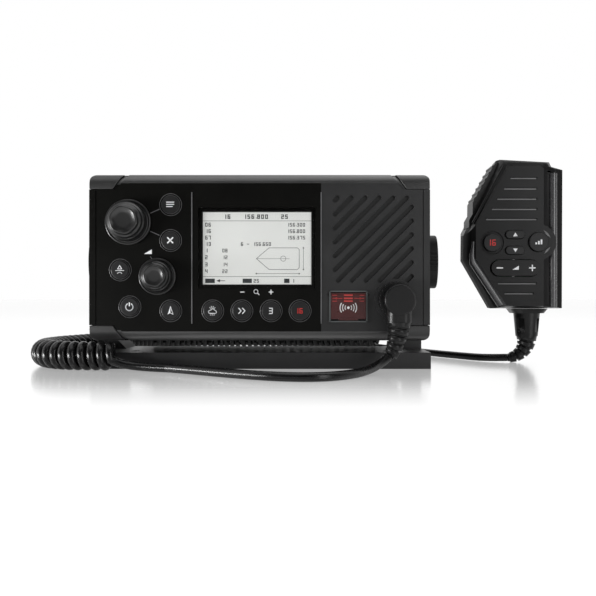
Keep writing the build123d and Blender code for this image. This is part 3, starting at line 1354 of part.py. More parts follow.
def mic_key(place, outline, flange, proud):
    """Key that comes through the front shell, with a flange behind it and a stem to its switch."""
    with BuildPart() as body:
        with BuildSketch(mic(MIC_INNER)):
            with Locations(place):
                add(outline)
        extrude(amount=MIC_WALL + proud)
        with BuildSketch(mic(MIC_INNER + MIC_FLANGE_T)):
            with Locations(place):
                add(flange)
        extrude(amount=MIC_FLANGE_T)
        with BuildSketch(mic(MIC_KEY_END)):
            with Locations(place):
                Circle(MIC_STEM_R)
        extrude(amount=MIC_KEY_END - MIC_INNER - MIC_FLANGE_T)
    return body


with BuildSketch() as pill_outline:
    SlotOverall(PILL_W, PILL_H)
with BuildSketch() as pill_flange:
    SlotOverall(PILL_W + 2.0, PILL_H + 1.6)
with BuildSketch() as round_16:
    Circle(MIC_16_R)
with BuildSketch() as round_16_flange:
    Circle(MIC_16_R + MIC_FLANGE_W)
with BuildSketch() as round_power:
    Circle(MIC_HL_R)
with BuildSketch() as round_power_flange:
    Circle(MIC_HL_R + MIC_FLANGE_W)

MIC_KEYS = [
    ("key_mic_16", (MIC_16_X, MIC_16_Z), round_16, round_16_flange, 1.2),
    ("key_mic_power", (MIC_HL_X, MIC_HL_Z), round_power, round_power_flange, 1.6),
    ("key_channel_up", (PILL_X, PILL_UP_Z), pill_outline, pill_flange, 1.3),
    ("key_channel_down", (PILL_X, PILL_DOWN_Z), pill_outline, pill_flange, 1.3),
]

for key_name, key_place, key_outline, key_flange, key_proud in MIC_KEYS:
    save(key_name, mic_key(key_place, key_outline.sketch, key_flange.sketch, key_proud))

with BuildPart() as vol_rocker:
    with BuildSketch(mic(MIC_INNER + 0.2)):
        with Locations((PILL_X, ROCKER_Z)):
            SlotOverall(ROCKER_W, ROCKER_H)
    extrude(amount=MIC_WALL + 0.2 + ROCKER_PROUD)
    with BuildSketch(mic(PIN_DEPTH + 2.0)):
        with Locations((PILL_X, ROCKER_Z)):
            Rectangle(5.0, ROCKER_H - 0.8)
    extrude(amount=PIN_DEPTH + 2.0 - MIC_INNER)
    with BuildSketch(Plane.XY.offset(ROCKER_Z - ROCKER_H)):
        with Locations((PILL_X, FRONT_Y + PIN_DEPTH)):
            Circle(MIC_PIN_R + RUNNING)
    extrude(amount=2 * ROCKER_H, mode=Mode.SUBTRACT)

save("vol_rocker", vol_rocker)

PTT_SHAPE = [ptt(along, out) for along, out in PTT_EDGE]
PTT_SHAPE += [ptt(PTT_HIGH, -PTT_INSIDE), ptt(PTT_LOW, -PTT_INSIDE)]

with BuildPart() as ptt_lever:
    with BuildSketch(mic(PTT_BACK)):
        with BuildLine():
            Polyline(*PTT_SHAPE, close=True)
        make_face()
    extrude(amount=PTT_BACK - PTT_FRONT)
    with BuildSketch(mic(PTT_BACK)):
        with Locations(PTT_PIN):
            Circle(MIC_PIN_R + RUNNING)
    extrude(amount=PTT_BACK - PTT_FRONT, mode=Mode.SUBTRACT)

save("ptt_lever", ptt_lever)

with BuildPart() as handset_pins:
    with BuildSketch(mic(PTT_BACK + GAP + LUG_T)):
        with Locations(PTT_PIN):
            Circle(MIC_PIN_R)
    extrude(amount=PTT_BACK - PTT_FRONT + 2 * (GAP + LUG_T))
    with BuildSketch(Plane.XY.offset(ROCKER_Z - ROCKER_LUG_LOW - ROCKER_LUG_T)):
        with Locations((PILL_X, FRONT_Y + PIN_DEPTH)):
            Circle(MIC_PIN_R)
    extrude(amount=2 * (ROCKER_LUG_LOW + ROCKER_LUG_T))

save("handset_pins", handset_pins)

# =========================================================================
# Fist microphone: board, loudspeaker and capsule
# =========================================================================
MIC_BOARD_OUTLINE = [(155.0, 39.0), (175.5, 39.0), (175.5, 117.0), (160.5, 117.0), (139.5, 84.0),
                     (139.5, 63.0)]

with BuildPart() as mic_board:
    with BuildSketch(mic(MIC_BOARD + BOARD_T)):
        with BuildLine():
            Polyline(*MIC_BOARD_OUTLINE, close=True)
        make_face()
        with Locations((MIC_16_X, MIC_16_Z)):
            Circle(3.5)
    extrude(amount=BOARD_T)
    with BuildSketch(mic(MIC_BOARD)):
        with Locations(*[key_place for _, key_place, _, _, _ in MIC_KEYS]):
            Circle(MIC_SWITCH_R)
    extrude(amount=MIC_SWITCH_T)

save("mic_board", mic_board)

for piece_name, (piece_x, piece_z, piece_r) in (("mic_speaker", MIC_SPEAKER),
                                                ("mic_capsule", MIC_CAPSULE)):
    with BuildPart() as insert:
        with BuildSketch(mic(MIC_BOARD)):
            with Locations((piece_x, piece_z)):
                Circle(piece_r)
        extrude(amount=MIC_BOARD - MIC_INNER)
    save(piece_name, insert)

# =========================================================================
# Fist microphone: collar and boot
# =========================================================================
BOOT_Y = FRONT_Y + MIC_PART
BOOT_ARC_TOP = BOOT_BEND_R + BACK_LEAD[-1][2]
BOOT_FOOT_X = BOOT_X - BOOT_BEND_R

with BuildPart() as handset_boot:
    with BuildSketch(Plane.XY.offset(BOOT_TOP_Z)):
        with Locations((BOOT_X, BOOT_Y)):
            RectangleRounded(BOOT_COLLAR_END_W, BOOT_COLLAR_END_D, BOOT_COLLAR_CORNER)
    with BuildSketch(Plane.XY.offset(MIC_SILHOUETTE[4][1] - 0.2)):
        with Locations((BOOT_X, BOOT_Y)):
            RectangleRounded(BOOT_COLLAR_W, BOOT_COLLAR_D, BOOT_COLLAR_CORNER)
    loft()
    with BuildSketch(Plane.XY.offset(BOOT_LOW_Z)):
        with Locations((BOOT_X, BOOT_Y)):
            Circle(BOOT_LOW_R)
    with BuildSketch(Plane.XY.offset(BOOT_TOP_Z)):
        with Locations((BOOT_X, BOOT_Y)):
            Circle(BOOT_TOP_R)
    loft()
    # four recessed windows
    with BuildSketch(Plane.XY.offset(BOOT_WINDOW_Z)):
        with Locations((BOOT_X, BOOT_Y)):
            with PolarLocations(BOOT_TOP_R - 0.3 * BOOT_WINDOW[0], 4, start_angle=45):
                Rectangle(BOOT_WINDOW[0], BOOT_WINDOW[1])
    extrude(amount=BOOT_WINDOW[2], mode=Mode.SUBTRACT)
    # ribbed bend down to the surface
    with BuildLine() as bend:
        Line((BOOT_X, BOOT_Y, BOOT_LOW_Z), (BOOT_X, BOOT_Y, BOOT_ARC_TOP))
        ThreePointArc((BOOT_X, BOOT_Y, BOOT_ARC_TOP),
                      (BOOT_X - BOOT_BEND_R * (1 - math.sqrt(0.5)), BOOT_Y,
                       BOOT_ARC_TOP - BOOT_BEND_R * math.sqrt(0.5)),
                      (BOOT_FOOT_X, BOOT_Y, BOOT_ARC_TOP - BOOT_BEND_R))
    loft(boot_sections(bend.line, MIC_BOOT_R[0], MIC_BOOT_R[1], BOOT_RIBS), ruled=True)

save("handset_boot", handset_boot)


# =========================================================================
# Cord: two leads that lie free, and the curly stretch between them
# =========================================================================
def corner_radii(points):
    """Largest radius that each corner's two runs allow."""
    radii = []
    for before, here, after in zip(points, points[1:], points[2:]):
        first = Vector(*here) - Vector(*before)
        second = Vector(*after) - Vector(*here)
        turn = math.radians(first.get_angle(second))
        radii.append(0.45 * min(first.length, second.length) / math.tan(turn / 2))
    return radii


def cord_tube(name, points, radius):
    """Tube along straight runs joined by tangent arcs; prints what the route measures."""
    radii = corner_radii(points)
    with BuildPart() as tube:
        with BuildLine() as run:
            FilletPolyline(*points, radius=radii)
        with BuildSketch(Plane(run.line @ 0, z_dir=run.line % 0)):
            Circle(radius)
        sweep(path=run.line)
    length = sum(edge.length for edge in run.line.edges())
    expected = math.pi * radius ** 2 * length
    print(f"{name}: length {length:.1f} mm, volume {tube.part.volume / expected:.4f} of section x length")
    print(f"  radii {[round(value, 1) for value in radii]}")
    save(name, tube)


cord_tube("cord_front_lead", FRONT_LEAD, CORD_R)
cord_tube("cord_coil", [(x, y, COIL_Z) for x, y in COIL_ROUTE], COIL_R)
cord_tube("cord_back_lead", BACK_LEAD, CORD_R)
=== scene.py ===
"""Looks of a marine VHF radio on its bracket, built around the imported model.

Every piece is made in metres in the model's own frame: +X to the right of the
radio, -Y towards its user and +Z up. Sizes in the classes are in millimetres
unless a comment says otherwise, and are turned into metres as a mesh is made.
Places on the face are counted from the tilt axis, which is level with its middle.
"""

from __future__ import annotations

import json
import logging
import math
from dataclasses import dataclass
from enum import Enum, IntEnum
from typing import Callable, Iterable, Sequence

import bmesh
import bpy
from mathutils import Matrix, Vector

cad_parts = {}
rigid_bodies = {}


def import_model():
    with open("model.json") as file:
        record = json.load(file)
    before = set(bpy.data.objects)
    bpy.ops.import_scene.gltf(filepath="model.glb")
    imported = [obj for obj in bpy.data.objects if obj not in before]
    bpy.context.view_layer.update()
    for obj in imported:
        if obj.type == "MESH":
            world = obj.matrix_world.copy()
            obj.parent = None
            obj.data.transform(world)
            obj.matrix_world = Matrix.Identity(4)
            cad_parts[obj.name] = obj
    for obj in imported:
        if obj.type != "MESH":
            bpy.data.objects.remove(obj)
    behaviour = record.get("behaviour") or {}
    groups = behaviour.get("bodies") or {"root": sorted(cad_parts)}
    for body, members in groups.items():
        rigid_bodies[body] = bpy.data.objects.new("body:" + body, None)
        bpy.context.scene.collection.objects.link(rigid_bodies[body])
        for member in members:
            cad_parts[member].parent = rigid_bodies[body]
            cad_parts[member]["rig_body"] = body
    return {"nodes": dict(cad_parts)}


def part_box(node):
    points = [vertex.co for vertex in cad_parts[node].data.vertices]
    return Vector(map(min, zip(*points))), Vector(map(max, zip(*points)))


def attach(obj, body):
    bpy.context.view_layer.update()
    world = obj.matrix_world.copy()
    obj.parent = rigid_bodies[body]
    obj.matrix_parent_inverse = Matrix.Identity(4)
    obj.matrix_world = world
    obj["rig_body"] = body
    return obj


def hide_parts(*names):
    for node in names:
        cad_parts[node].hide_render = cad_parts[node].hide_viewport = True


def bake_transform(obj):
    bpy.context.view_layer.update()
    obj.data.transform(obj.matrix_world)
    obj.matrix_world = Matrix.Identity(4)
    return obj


LOG = logging.getLogger("marine_radio")

MM = 0.001
FRONT_Y = -50.0  # front plane of the face moulding, mm
PIVOT_Z = 64.2  # tilt axis above the surface, mm
SIGN_PROUD = 0.05  # how far a printed sign stands out, mm
MERGE = 2e-6  # vertices closer than this are one, in metres
NOISE_RANGE = (0.3, 0.7)  # most of a noise pattern lies between these values
PATCH_MM = 14.0  # size of the patches in which a colour wanders
QUARTER = math.radians(90.0)
SHARP = math.radians(32.0)  # an edge that bends more than this is rounded
FLAT = math.radians(0.6)  # faces that bend less than this are one
UP = Vector((0.0, 0.0, 1.0))
WHITE = (1.0, 1.0, 1.0, 1.0)

Pair = tuple[float, float]
Triple = tuple[float, float, float]
Box = tuple[float, float, float, float]  # left, bottom, right and top
MeshData = tuple[list[Vector], list[list[int]]]


# ---------------------------------------------------------------------------
# Finishes
# ---------------------------------------------------------------------------
class Shader:
    """Adds nodes to one material's or world's tree and joins them."""

    def __init__(self, owner: bpy.types.ID) -> None:
        """Starts from an empty tree.

        Args:
            owner: the material or world that holds the tree.
        """
        owner.use_nodes = True
        self.tree = owner.node_tree
        self.tree.nodes.clear()

    def add(self, kind: str, inputs: dict[str, object] | None = None, **settings: object) -> bpy.types.Node:
        """Adds one node.

        Args:
            kind: the node's type name.
            inputs: values for its input sockets.
            settings: values for its own properties.

        Returns:
            The node.
        """
        node = self.tree.nodes.new(kind)
        for key, value in settings.items():
            setattr(node, key, value)
        for key, value in (inputs or {}).items():
            node.inputs[key].default_value = value
        return node

    def link(self, start: bpy.types.NodeSocket, end: bpy.types.NodeSocket) -> None:
        """Joins an output socket to an input socket."""
        self.tree.links.new(start, end)

    def noise(self, size_mm: float, detail: float = 2.0) -> bpy.types.NodeSocket:
        """Adds a noise pattern on Object coordinates.

        Args:
            size_mm: the size of its features.
            detail: how many finer layers it has.

        Returns:
            The socket with the pattern's value.
        """
        place = self.add("ShaderNodeTexCoord")
        noise = self.add("ShaderNodeTexNoise", {"Scale": 1.0 / (size_mm * MM), "Detail": detail})
        self.link(place.outputs["Object"], noise.inputs["Vector"])
        return noise.outputs["Fac"]

    def along_y(
        self, coordinates: str, ends: Pair, values: Pair, easing: str = "LINEAR"
    ) -> bpy.types.NodeSocket:
        """Adds a value that changes along Y.

        Args:
            coordinates: which output of the Texture Coordinate node it reads.
            ends: the Y where the change starts and where it ends.
            values: the value before the change and after it.
            easing: how it goes from one to the other.

        Returns:
            The socket with the value.
        """
        place = self.add("ShaderNodeTexCoord")
        split = self.add("ShaderNodeSeparateXYZ")
        self.link(place.outputs[coordinates], split.inputs["Vector"])
        change = self.add(
            "ShaderNodeMapRange",
            {"From Min": ends[0], "From Max": ends[1], "To Min": values[0], "To Max": values[1]},
            interpolation_type=easing,
        )
        self.link(split.outputs["Y"], change.inputs["Value"])
        return change.outputs["Result"]

    def seen_by(self, *rays: str) -> bpy.types.NodeSocket:
        """Adds a value that is 1 for some kinds of ray.

        Args:
            rays: output names of the Light Path node.

        Returns:
            The socket that is 1 where a ray is of one of the kinds, else 0.
        """
        paths = self.add("ShaderNodeLightPath")
        seen = paths.outputs[rays[0]]
        for ray in rays[1:]:
            either = self.add("ShaderNodeMath", operation="MAXIMUM")
            self.link(seen, either.inputs[0])
            self.link(paths.outputs[ray], either.inputs[1])
            seen = either.outputs[0]
        return seen

    def mix(
        self, share: bpy.types.NodeSocket, first: bpy.types.NodeSocket, second: bpy.types.NodeSocket
    ) -> bpy.types.NodeSocket:
        """Mixes two surfaces.

        Args:
            share: how much of the second one there is.
            first: the surface where the share is 0.
            second: the surface where the share is 1.

        Returns:
            The socket of the mixture.
        """
        node = self.add("ShaderNodeMixShader")
        for place, socket in enumerate((share, first, second)):
            self.link(socket, node.inputs[place])
        return node.outputs["Shader"]

    def close(self, surface: bpy.types.NodeSocket, output: str = "ShaderNodeOutputMaterial") -> None:
        """Joins a surface to the tree's output."""
        self.link(surface, self.add(output).inputs["Surface"])


@dataclass(frozen=True)
class Finish:
    """A moulded, painted or metal surface with grain and slight wear.

    Attributes:
        name: the material's name.
        slot: the record's material slot that it belongs to; not used by this script.
        colour: base colour, linear.
        roughness: middle roughness.
        grain_mm: size of the grain.
        depth_mm: height of the grain.
        metallic: 1 for bare metal.
        specular: specular level of the shader.
        wander: share by which colour and roughness wander over the surface.
        alpha: opacity, for clear plastics.
        glow: emission strength of the base colour; the screen's is its backlight, the prints' is painted
            light.
    """

    name: str
    slot: str
    colour: Triple
    roughness: float
    grain_mm: float = 0.35
    depth_mm: float = 0.006
    metallic: float = 0.0
    specular: float = 0.5
    wander: float = 0.18
    alpha: float = 1.0
    glow: float = 0.0

    def material(self) -> bpy.types.Material:
        """Makes the material, or finds it if it was made before.

        Returns:
            The material.
        """
        found = bpy.data.materials.get(self.name)
        if found:
            return found
        made = bpy.data.materials.new(self.name)
        shader = Shader(made)
        surface = shader.add(
            "ShaderNodeBsdfPrincipled",
            {"Metallic": self.metallic, "Specular IOR Level": self.specular, "Alpha": self.alpha},
        )
        tint = shader.add("ShaderNodeValToRGB")
        for element, place, side in zip(tint.color_ramp.elements, NOISE_RANGE, (-1.0, 1.0)):
            element.position = place
            element.color = self._shade(1.0 + side * self.wander)
        shader.link(shader.noise(PATCH_MM, 3.0), tint.inputs["Fac"])
        shader.link(tint.outputs["Color"], surface.inputs["Base Color"])
        polish = shader.add(
            "ShaderNodeMapRange",
            {
                "From Min": NOISE_RANGE[0],
                "From Max": NOISE_RANGE[1],
                "To Min": self.roughness * (1.0 - 0.5 * self.wander),
                "To Max": min(1.0, self.roughness * (1.0 + 0.5 * self.wander)),
            },
        )
        shader.link(shader.noise(self.grain_mm * 3.0, 4.0), polish.inputs["Value"])
        shader.link(polish.outputs["Result"], surface.inputs["Roughness"])
        if self.depth_mm:
            bump = shader.add("ShaderNodeBump", {"Strength": 1.0, "Distance": self.depth_mm * MM})
            shader.link(shader.noise(self.grain_mm, 2.0), bump.inputs["Height"])
            shader.link(bump.outputs["Normal"], surface.inputs["Normal"])
        if self.glow:
            surface.inputs["Emission Color"].default_value = (*self.colour, 1.0)
            surface.inputs["Emission Strength"].default_value = self.glow
        shader.close(surface.outputs["BSDF"])
        return made

    def _shade(self, share: float) -> tuple[float, float, float, float]:
        """The base colour times a share, with full opacity."""
        return (*(min(1.0, value * share) for value in self.colour), 1.0)


@dataclass(frozen=True)
class Finishes:
    """Every finish of the radio, by what it is on."""

    moulding: Finish = Finish("face moulding", "face_plastic", (0.0042, 0.0042, 0.0037), 0.34, specular=0.09)
    # The rounded bars: the same black plastic in a lighter grey with a strong specular level, a painted
    # highlight.
    bar: Finish = Finish("rounded edge", "face_plastic", (0.034, 0.034, 0.034), 0.34, specular=0.95)
    # Right of the second divider: the same black moulding in a lighter grey, painted light from the right.
    speaker_panel_painted_light: Finish = Finish(
        "speaker panel painted light", "face_plastic", (0.026, 0.026, 0.0265), 0.40, 0.5, specular=0.32
    )
    grille_floor: Finish = Finish("speaker slots", "face_plastic", (0.013, 0.013, 0.013), 0.7)
    cap: Finish = Finish("corner cap", "cap_plastic", (0.025, 0.025, 0.025), 0.36, specular=0.6)
    trim: Finish = Finish("printed grey", "face_plastic", (0.135, 0.135, 0.14), 0.45, depth_mm=0.0)
    frame: Finish = Finish("key frame", "face_plastic", (0.095, 0.105, 0.105), 0.4, depth_mm=0.0)
    # Print on the keys and the face glows a little: painted light, as print gives off no light of its own.
    legend: Finish = Finish(
        "white print painted glow", "key_rubber", (0.80, 0.81, 0.82), 0.5, depth_mm=0.0, wander=0.04, glow=0.12
    )
    red_legend: Finish = Finish(
        "red print painted glow", "key_rubber", (0.50, 0.028, 0.025), 0.5, depth_mm=0.0, wander=0.04, glow=0.25
    )
    key: Finish = Finish(
        "key rubber", "key_rubber", (0.018, 0.018, 0.0184), 0.40, 0.25, 0.004, specular=0.22
    )
    key_ring: Finish = Finish("key ring", "key_rubber", (0.085, 0.085, 0.087), 0.38, depth_mm=0.0)
    knob: Finish = Finish("knob", "knob_plastic", (0.009, 0.009, 0.009), 0.31, 0.2, 0.002, specular=0.65)
    window: Finish = Finish("display window", "window", (0.02, 0.02, 0.02), 0.05, depth_mm=0.0, alpha=0.04)
    lcd_case: Finish = Finish("display case", "screen", (0.010, 0.010, 0.010), 0.4)
    screen: Finish = Finish(
        "lit screen", "screen", (0.62, 0.63, 0.61), 0.6, depth_mm=0.0, wander=0.02, glow=0.45
    )
    screen_ink: Finish = Finish("screen dots", "screen", (0.03, 0.034, 0.036), 0.6, depth_mm=0.0)
    flap: Finish = Finish("red flap", "flap_red", (0.070, 0.014, 0.014), 0.30, 0.8, 0.004, alpha=0.86)
    # The flap's printing glows a little: painted light on its printed colours.
    flap_band: Finish = Finish("flap print painted glow", "flap_red", (0.46, 0.045, 0.04), 0.4, depth_mm=0.0, glow=0.1)
    flap_legend: Finish = Finish(
        "flap legend painted glow", "flap_red", (0.80, 0.80, 0.80), 0.5, depth_mm=0.0, glow=0.12
    )
    distress: Finish = Finish("distress button", "button_red", (0.12, 0.012, 0.012), 0.45)
    plug: Finish = Finish(
        "plug rubber", "plug_rubber", (0.009, 0.009, 0.0092), 0.32, 0.4, 0.004, specular=0.3
    )
    # Near-black rough rings on the boot: painted shade in the slots between its ribs.
    boot_groove_painted_shade: Finish = Finish("boot grooves painted shade", "plug_rubber", (0.004, 0.004, 0.004), 0.7)
    socket: Finish = Finish("socket plastic", "socket_plastic", (0.010, 0.010, 0.010), 0.35)
    cord: Finish = Finish(
        "cord jacket", "cord_rubber", (0.0050, 0.0050, 0.0052), 0.26, 0.5, 0.003, specular=0.36
    )
    bracket: Finish = Finish("bracket plastic", "bracket_plastic", (0.014, 0.014, 0.0145), 0.40)
    clamp: Finish = Finish("clamp knob", "clamp_plastic", (0.007, 0.007, 0.007), 0.38, specular=0.22)
    chassis: Finish = Finish(
        "cast chassis", "chassis_metal", (0.008, 0.008, 0.0083), 0.48, 0.3, 0.01, specular=0.2
    )
    handset: Finish = Finish(
        "handset shell", "handset_plastic", (0.0135, 0.0135, 0.0138), 0.34, 0.4, specular=0.17
    )
    # Sides, top and lower left of the shells: the same plastic, darker and with almost no sheen, as painted
    # shade.
    handset_side_painted_shade: Finish = Finish(
        "handset sides painted shade", "handset_plastic", (0.011, 0.011, 0.011), 0.50, specular=0.04
    )
    # Lighter grey at full specular level: a painted highlight on the rounded ridges.
    handset_painted_highlight: Finish = Finish(
        "handset shoulder painted highlight", "handset_plastic", (0.055, 0.055, 0.057), 0.26, 0.4, 0.0015, specular=1.0
    )
    # Pale strips on the microphone's front: painted highlight on groove edges and beside the power key.
    groove: Finish = Finish("groove edge painted highlight", "handset_plastic", (0.170, 0.170, 0.173), 0.45, depth_mm=0.0)
    # Near-black strips: painted shade in the grooves, beside the number key and beside the talk lever.
    groove_painted_shade: Finish = Finish(
        "groove painted shade", "handset_plastic", (0.003, 0.003, 0.003), 0.8, depth_mm=0.0
    )
    talk_lever: Finish = Finish(
        "talk lever", "ptt_rubber", (0.011, 0.011, 0.011), 0.40, 0.3, 0.008, specular=0.28
    )
    steel: Finish = Finish("steel", "steel", (0.50, 0.50, 0.50), 0.28, metallic=1.0, depth_mm=0.0)
    dark_steel: Finish = Finish(
        "blackened pin", "steel", (0.03, 0.03, 0.03), 0.5, metallic=1.0, depth_mm=0.0
    )
    switch: Finish = Finish("switch metal", "switch_metal", (0.62, 0.61, 0.58), 0.3, metallic=1.0)
    encoder: Finish = Finish("encoder metal", "encoder_metal", (0.5, 0.5, 0.5), 0.35, metallic=1.0)
    plated: Finish = Finish("plated brass", "connector_metal", (0.66, 0.65, 0.6), 0.2, metallic=1.0)
    board: Finish = Finish("circuit board", "board", (0.012, 0.11, 0.045), 0.35, 1.5, 0.01)
    speaker: Finish = Finish("speaker parts", "speaker_parts", (0.012, 0.012, 0.012), 0.7)
    seal: Finish = Finish("seal rubber", "seal_rubber", (0.008, 0.008, 0.008), 0.7)


FINISH = Finishes()


# ---------------------------------------------------------------------------
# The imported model
# ---------------------------------------------------------------------------
class Model:
    """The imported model, read once."""

    nodes: dict[str, bpy.types.Object] = {}

    @classmethod
    def load(cls) -> None:
        """Reads the model into the scene."""
        cls.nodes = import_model()["nodes"]

    @classmethod
    def body(cls, node: str) -> str:
        """Name of the body that a node moves with."""
        return cls.nodes[node]["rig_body"]

    @staticmethod
    def front(node: str) -> float:
        """Y of a node's front, mm."""
        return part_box(node)[0][1] / MM

    @staticmethod
    def middle(node: str) -> Pair:
        """X and Z of a node's middle, mm, with Z counted from the surface."""
        low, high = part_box(node)
        return (low[0] + high[0]) / (2 * MM), (low[2] + high[2]) / (2 * MM)


# ---------------------------------------------------------------------------
# Making meshes
# ---------------------------------------------------------------------------
def point(x: float, y: float, z: float) -> Vector:
    """A point given in millimetres, in metres."""
    return Vector((x, y, z)) * MM


def finish_mesh(mesh: bpy.types.Mesh, crease: float = 35.0) -> None:
    """Merges doubles, turns faces outwards and shades smooth up to an angle.

    Args:
        mesh: the mesh to finish.
        crease: the angle in degrees above which an edge stays sharp.
    """
    work = bmesh.new()
    work.from_mesh(mesh)
    bmesh.ops.remove_doubles(work, verts=work.verts, dist=MERGE)
    bmesh.ops.recalc_face_normals(work, faces=work.faces)
    work.to_mesh(mesh)
    work.free()
    mesh.shade_smooth()
    mesh.set_sharp_from_angle(angle=math.radians(crease))


def new_object(name: str, data: bpy.types.ID) -> bpy.types.Object:
    """Makes an object and links it to the scene.

    Args:
        name: the object's name.
        data: its mesh, lamp or camera.

    Returns:
        The object.
    """
    made = bpy.data.objects.new(name, data)
    bpy.context.scene.collection.objects.link(made)
    return made


def enter_piece(piece: bpy.types.Object, finish: Finish, body: str | None) -> None:
    """Records where a piece belongs, and reports it.

    Args:
        piece: the finished piece.
        finish: what it is finished in, whose name is reported.
        body: the body that it moves with, or None where it bends between two.
    """
    if body:
        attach(piece, body)
    LOG.info("piece %s in %s, %d faces", piece.name, finish.name, len(piece.data.polygons))


def add_piece(
    name: str, data: MeshData, finish: Finish, body: str | None, crease: float = 35.0
) -> bpy.types.Object:
    """Makes a piece of vertices and faces.

    Args:
        name: the piece's name.
        data: its vertices in metres and its faces.
        finish: what it is finished in.
        body: the body that it moves with, or None where it bends between two.
        crease: the angle above which an edge stays sharp.

    Returns:
        The new object.
    """
    mesh = bpy.data.meshes.new(name)
    mesh.from_pydata([tuple(vertex) for vertex in data[0]], [], data[1])
    finish_mesh(mesh, crease)
    mesh.materials.append(finish.material())
    made = new_object(name, mesh)
    enter_piece(made, finish, body)
    return made


def apply_modifiers(piece: bpy.types.Object) -> None:
    """Turns a piece's modifiers into its mesh.

    Args:
        piece: the piece, which gets a new mesh and has no modifier after it.
    """
    bpy.context.view_layer.update()
    graph = bpy.context.evaluated_depsgraph_get()
    result = bpy.data.meshes.new_from_object(piece.evaluated_get(graph))
    old = piece.data
    piece.modifiers.clear()
    piece.data = result
    bpy.data.meshes.remove(old)


def round_edges(piece: bpy.types.Object, width_mm: float, segments: int) -> None:
    """Rounds a piece's sharp edges and evens its shading.

    Args:
        piece: the piece, whose mesh changes.
        width_mm: how wide the rounding is.
        segments: how many faces it has.
    """
    bevel = piece.modifiers.new("rounding", "BEVEL")
    bevel.width = width_mm * MM
    bevel.segments = segments
    bevel.limit_method = "ANGLE"
    bevel.angle_limit = SHARP
    bevel.use_clamp_overlap = True
    bevel.miter_outer = "MITER_ARC"
    even = piece.modifiers.new("even shading", "WEIGHTED_NORMAL")
    even.keep_sharp = False
    even.weight = 80
    for polygon in piece.data.polygons:
        polygon.use_smooth = True
    apply_modifiers(piece)


def refine(
    node: str,
    finish: Finish,
    width_mm: float = 0.35,
    segments: int = 2,
    cut_mm: float | None = None,
    others: Sequence[Finish] = (),
    choose: Callable[[Vector, Vector], int] | None = None,
) -> bpy.types.Object:
    """Copies a node of the model with softened edges, and stands it in for the node.

    Args:
        node: the node's name.
        finish: what the copy is finished in.
        width_mm: how wide its edges are rounded.
        segments: how many faces a rounding has.
        cut_mm: an X at which faces are divided, so that a finish can change there.
        others: more finishes.
        choose: for the middle and normal of a face, 0 for the finish or a place in the others.

    Returns:
        The copy.
    """
    source = Model.nodes[node]
    mesh = source.data.copy()
    mesh.name = f"{node}_moulded"
    work = bmesh.new()
    work.from_mesh(mesh)
    bmesh.ops.remove_doubles(work, verts=work.verts, dist=MERGE)
    bmesh.ops.dissolve_limit(work, angle_limit=FLAT, verts=work.verts, edges=work.edges)
    if cut_mm is not None:
        everything = [*work.verts, *work.edges, *work.faces]
        bmesh.ops.bisect_plane(
            work, geom=everything, plane_co=(cut_mm * MM, 0.0, 0.0), plane_no=(1.0, 0.0, 0.0)
        )
    mesh.materials.clear()
    for layer in (finish, *others):
        mesh.materials.append(layer.material())
    for face in work.faces:
        face.material_index = choose(face.calc_center_median(), face.normal) if choose else 0
    work.to_mesh(mesh)
    work.free()
    made = new_object(mesh.name, mesh)
    if width_mm:
        round_edges(made, width_mm, segments)
    enter_piece(made, finish, source["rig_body"])
    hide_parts(node)
    return made


def dress(finish: Finish, *nodes: str) -> None:
    """Gives nodes of the model, whose shape stays, a finish of their own.

    Args:
        finish: what they are finished in.
        nodes: their names.
    """
    for node in nodes:
        mesh = Model.nodes[node].data
        mesh.materials.clear()
        mesh.materials.append(finish.material())
        LOG.info("node %s in %s", node, finish.name)


def lathe(
    profile: Sequence[Pair],
    centre: Vector,
    axis: Triple,
    steps: int = 96,
    stretch: Callable[[float, float], float] | None = None,
) -> MeshData:
    """Turns a profile about an axis.

    Args:
        profile: radius and distance along the axis, both in mm, from radius 0 to radius 0.
        centre: a point on the axis, in metres.
        axis: the direction that distances are counted in.
        steps: how many faces go round.
        stretch: a factor on the radius for an angle in radians and a radius in mm.

    Returns:
        The vertices and faces of a closed solid.
    """
    along = Vector(axis).normalized()
    across = along.orthogonal().normalized()
    other = along.cross(across)
    vertices: list[Vector] = []
    rows: list[list[int]] = []
    for radius, reach in profile:
        base = centre + along * reach * MM
        if radius == 0.0:
            vertices.append(base)
            rows.append([len(vertices) - 1] * steps)
            continue
        row = []
        for step in range(steps):
            angle = 2.0 * math.pi * step / steps
            size = radius * (stretch(angle, radius) if stretch else 1.0)
            vertices.append(base + (across * math.cos(angle) + other * math.sin(angle)) * size * MM)
            row.append(len(vertices) - 1)
        rows.append(row)
    faces = []
    for first, second in zip(rows, rows[1:]):
        for step in range(steps):
            after = (step + 1) % steps
            face = [first[step], first[after], second[after], second[step]]
            face = [index for place, index in enumerate(face) if index not in face[:place]]
            if len(face) > 2:
                faces.append(face)
    return vertices, faces


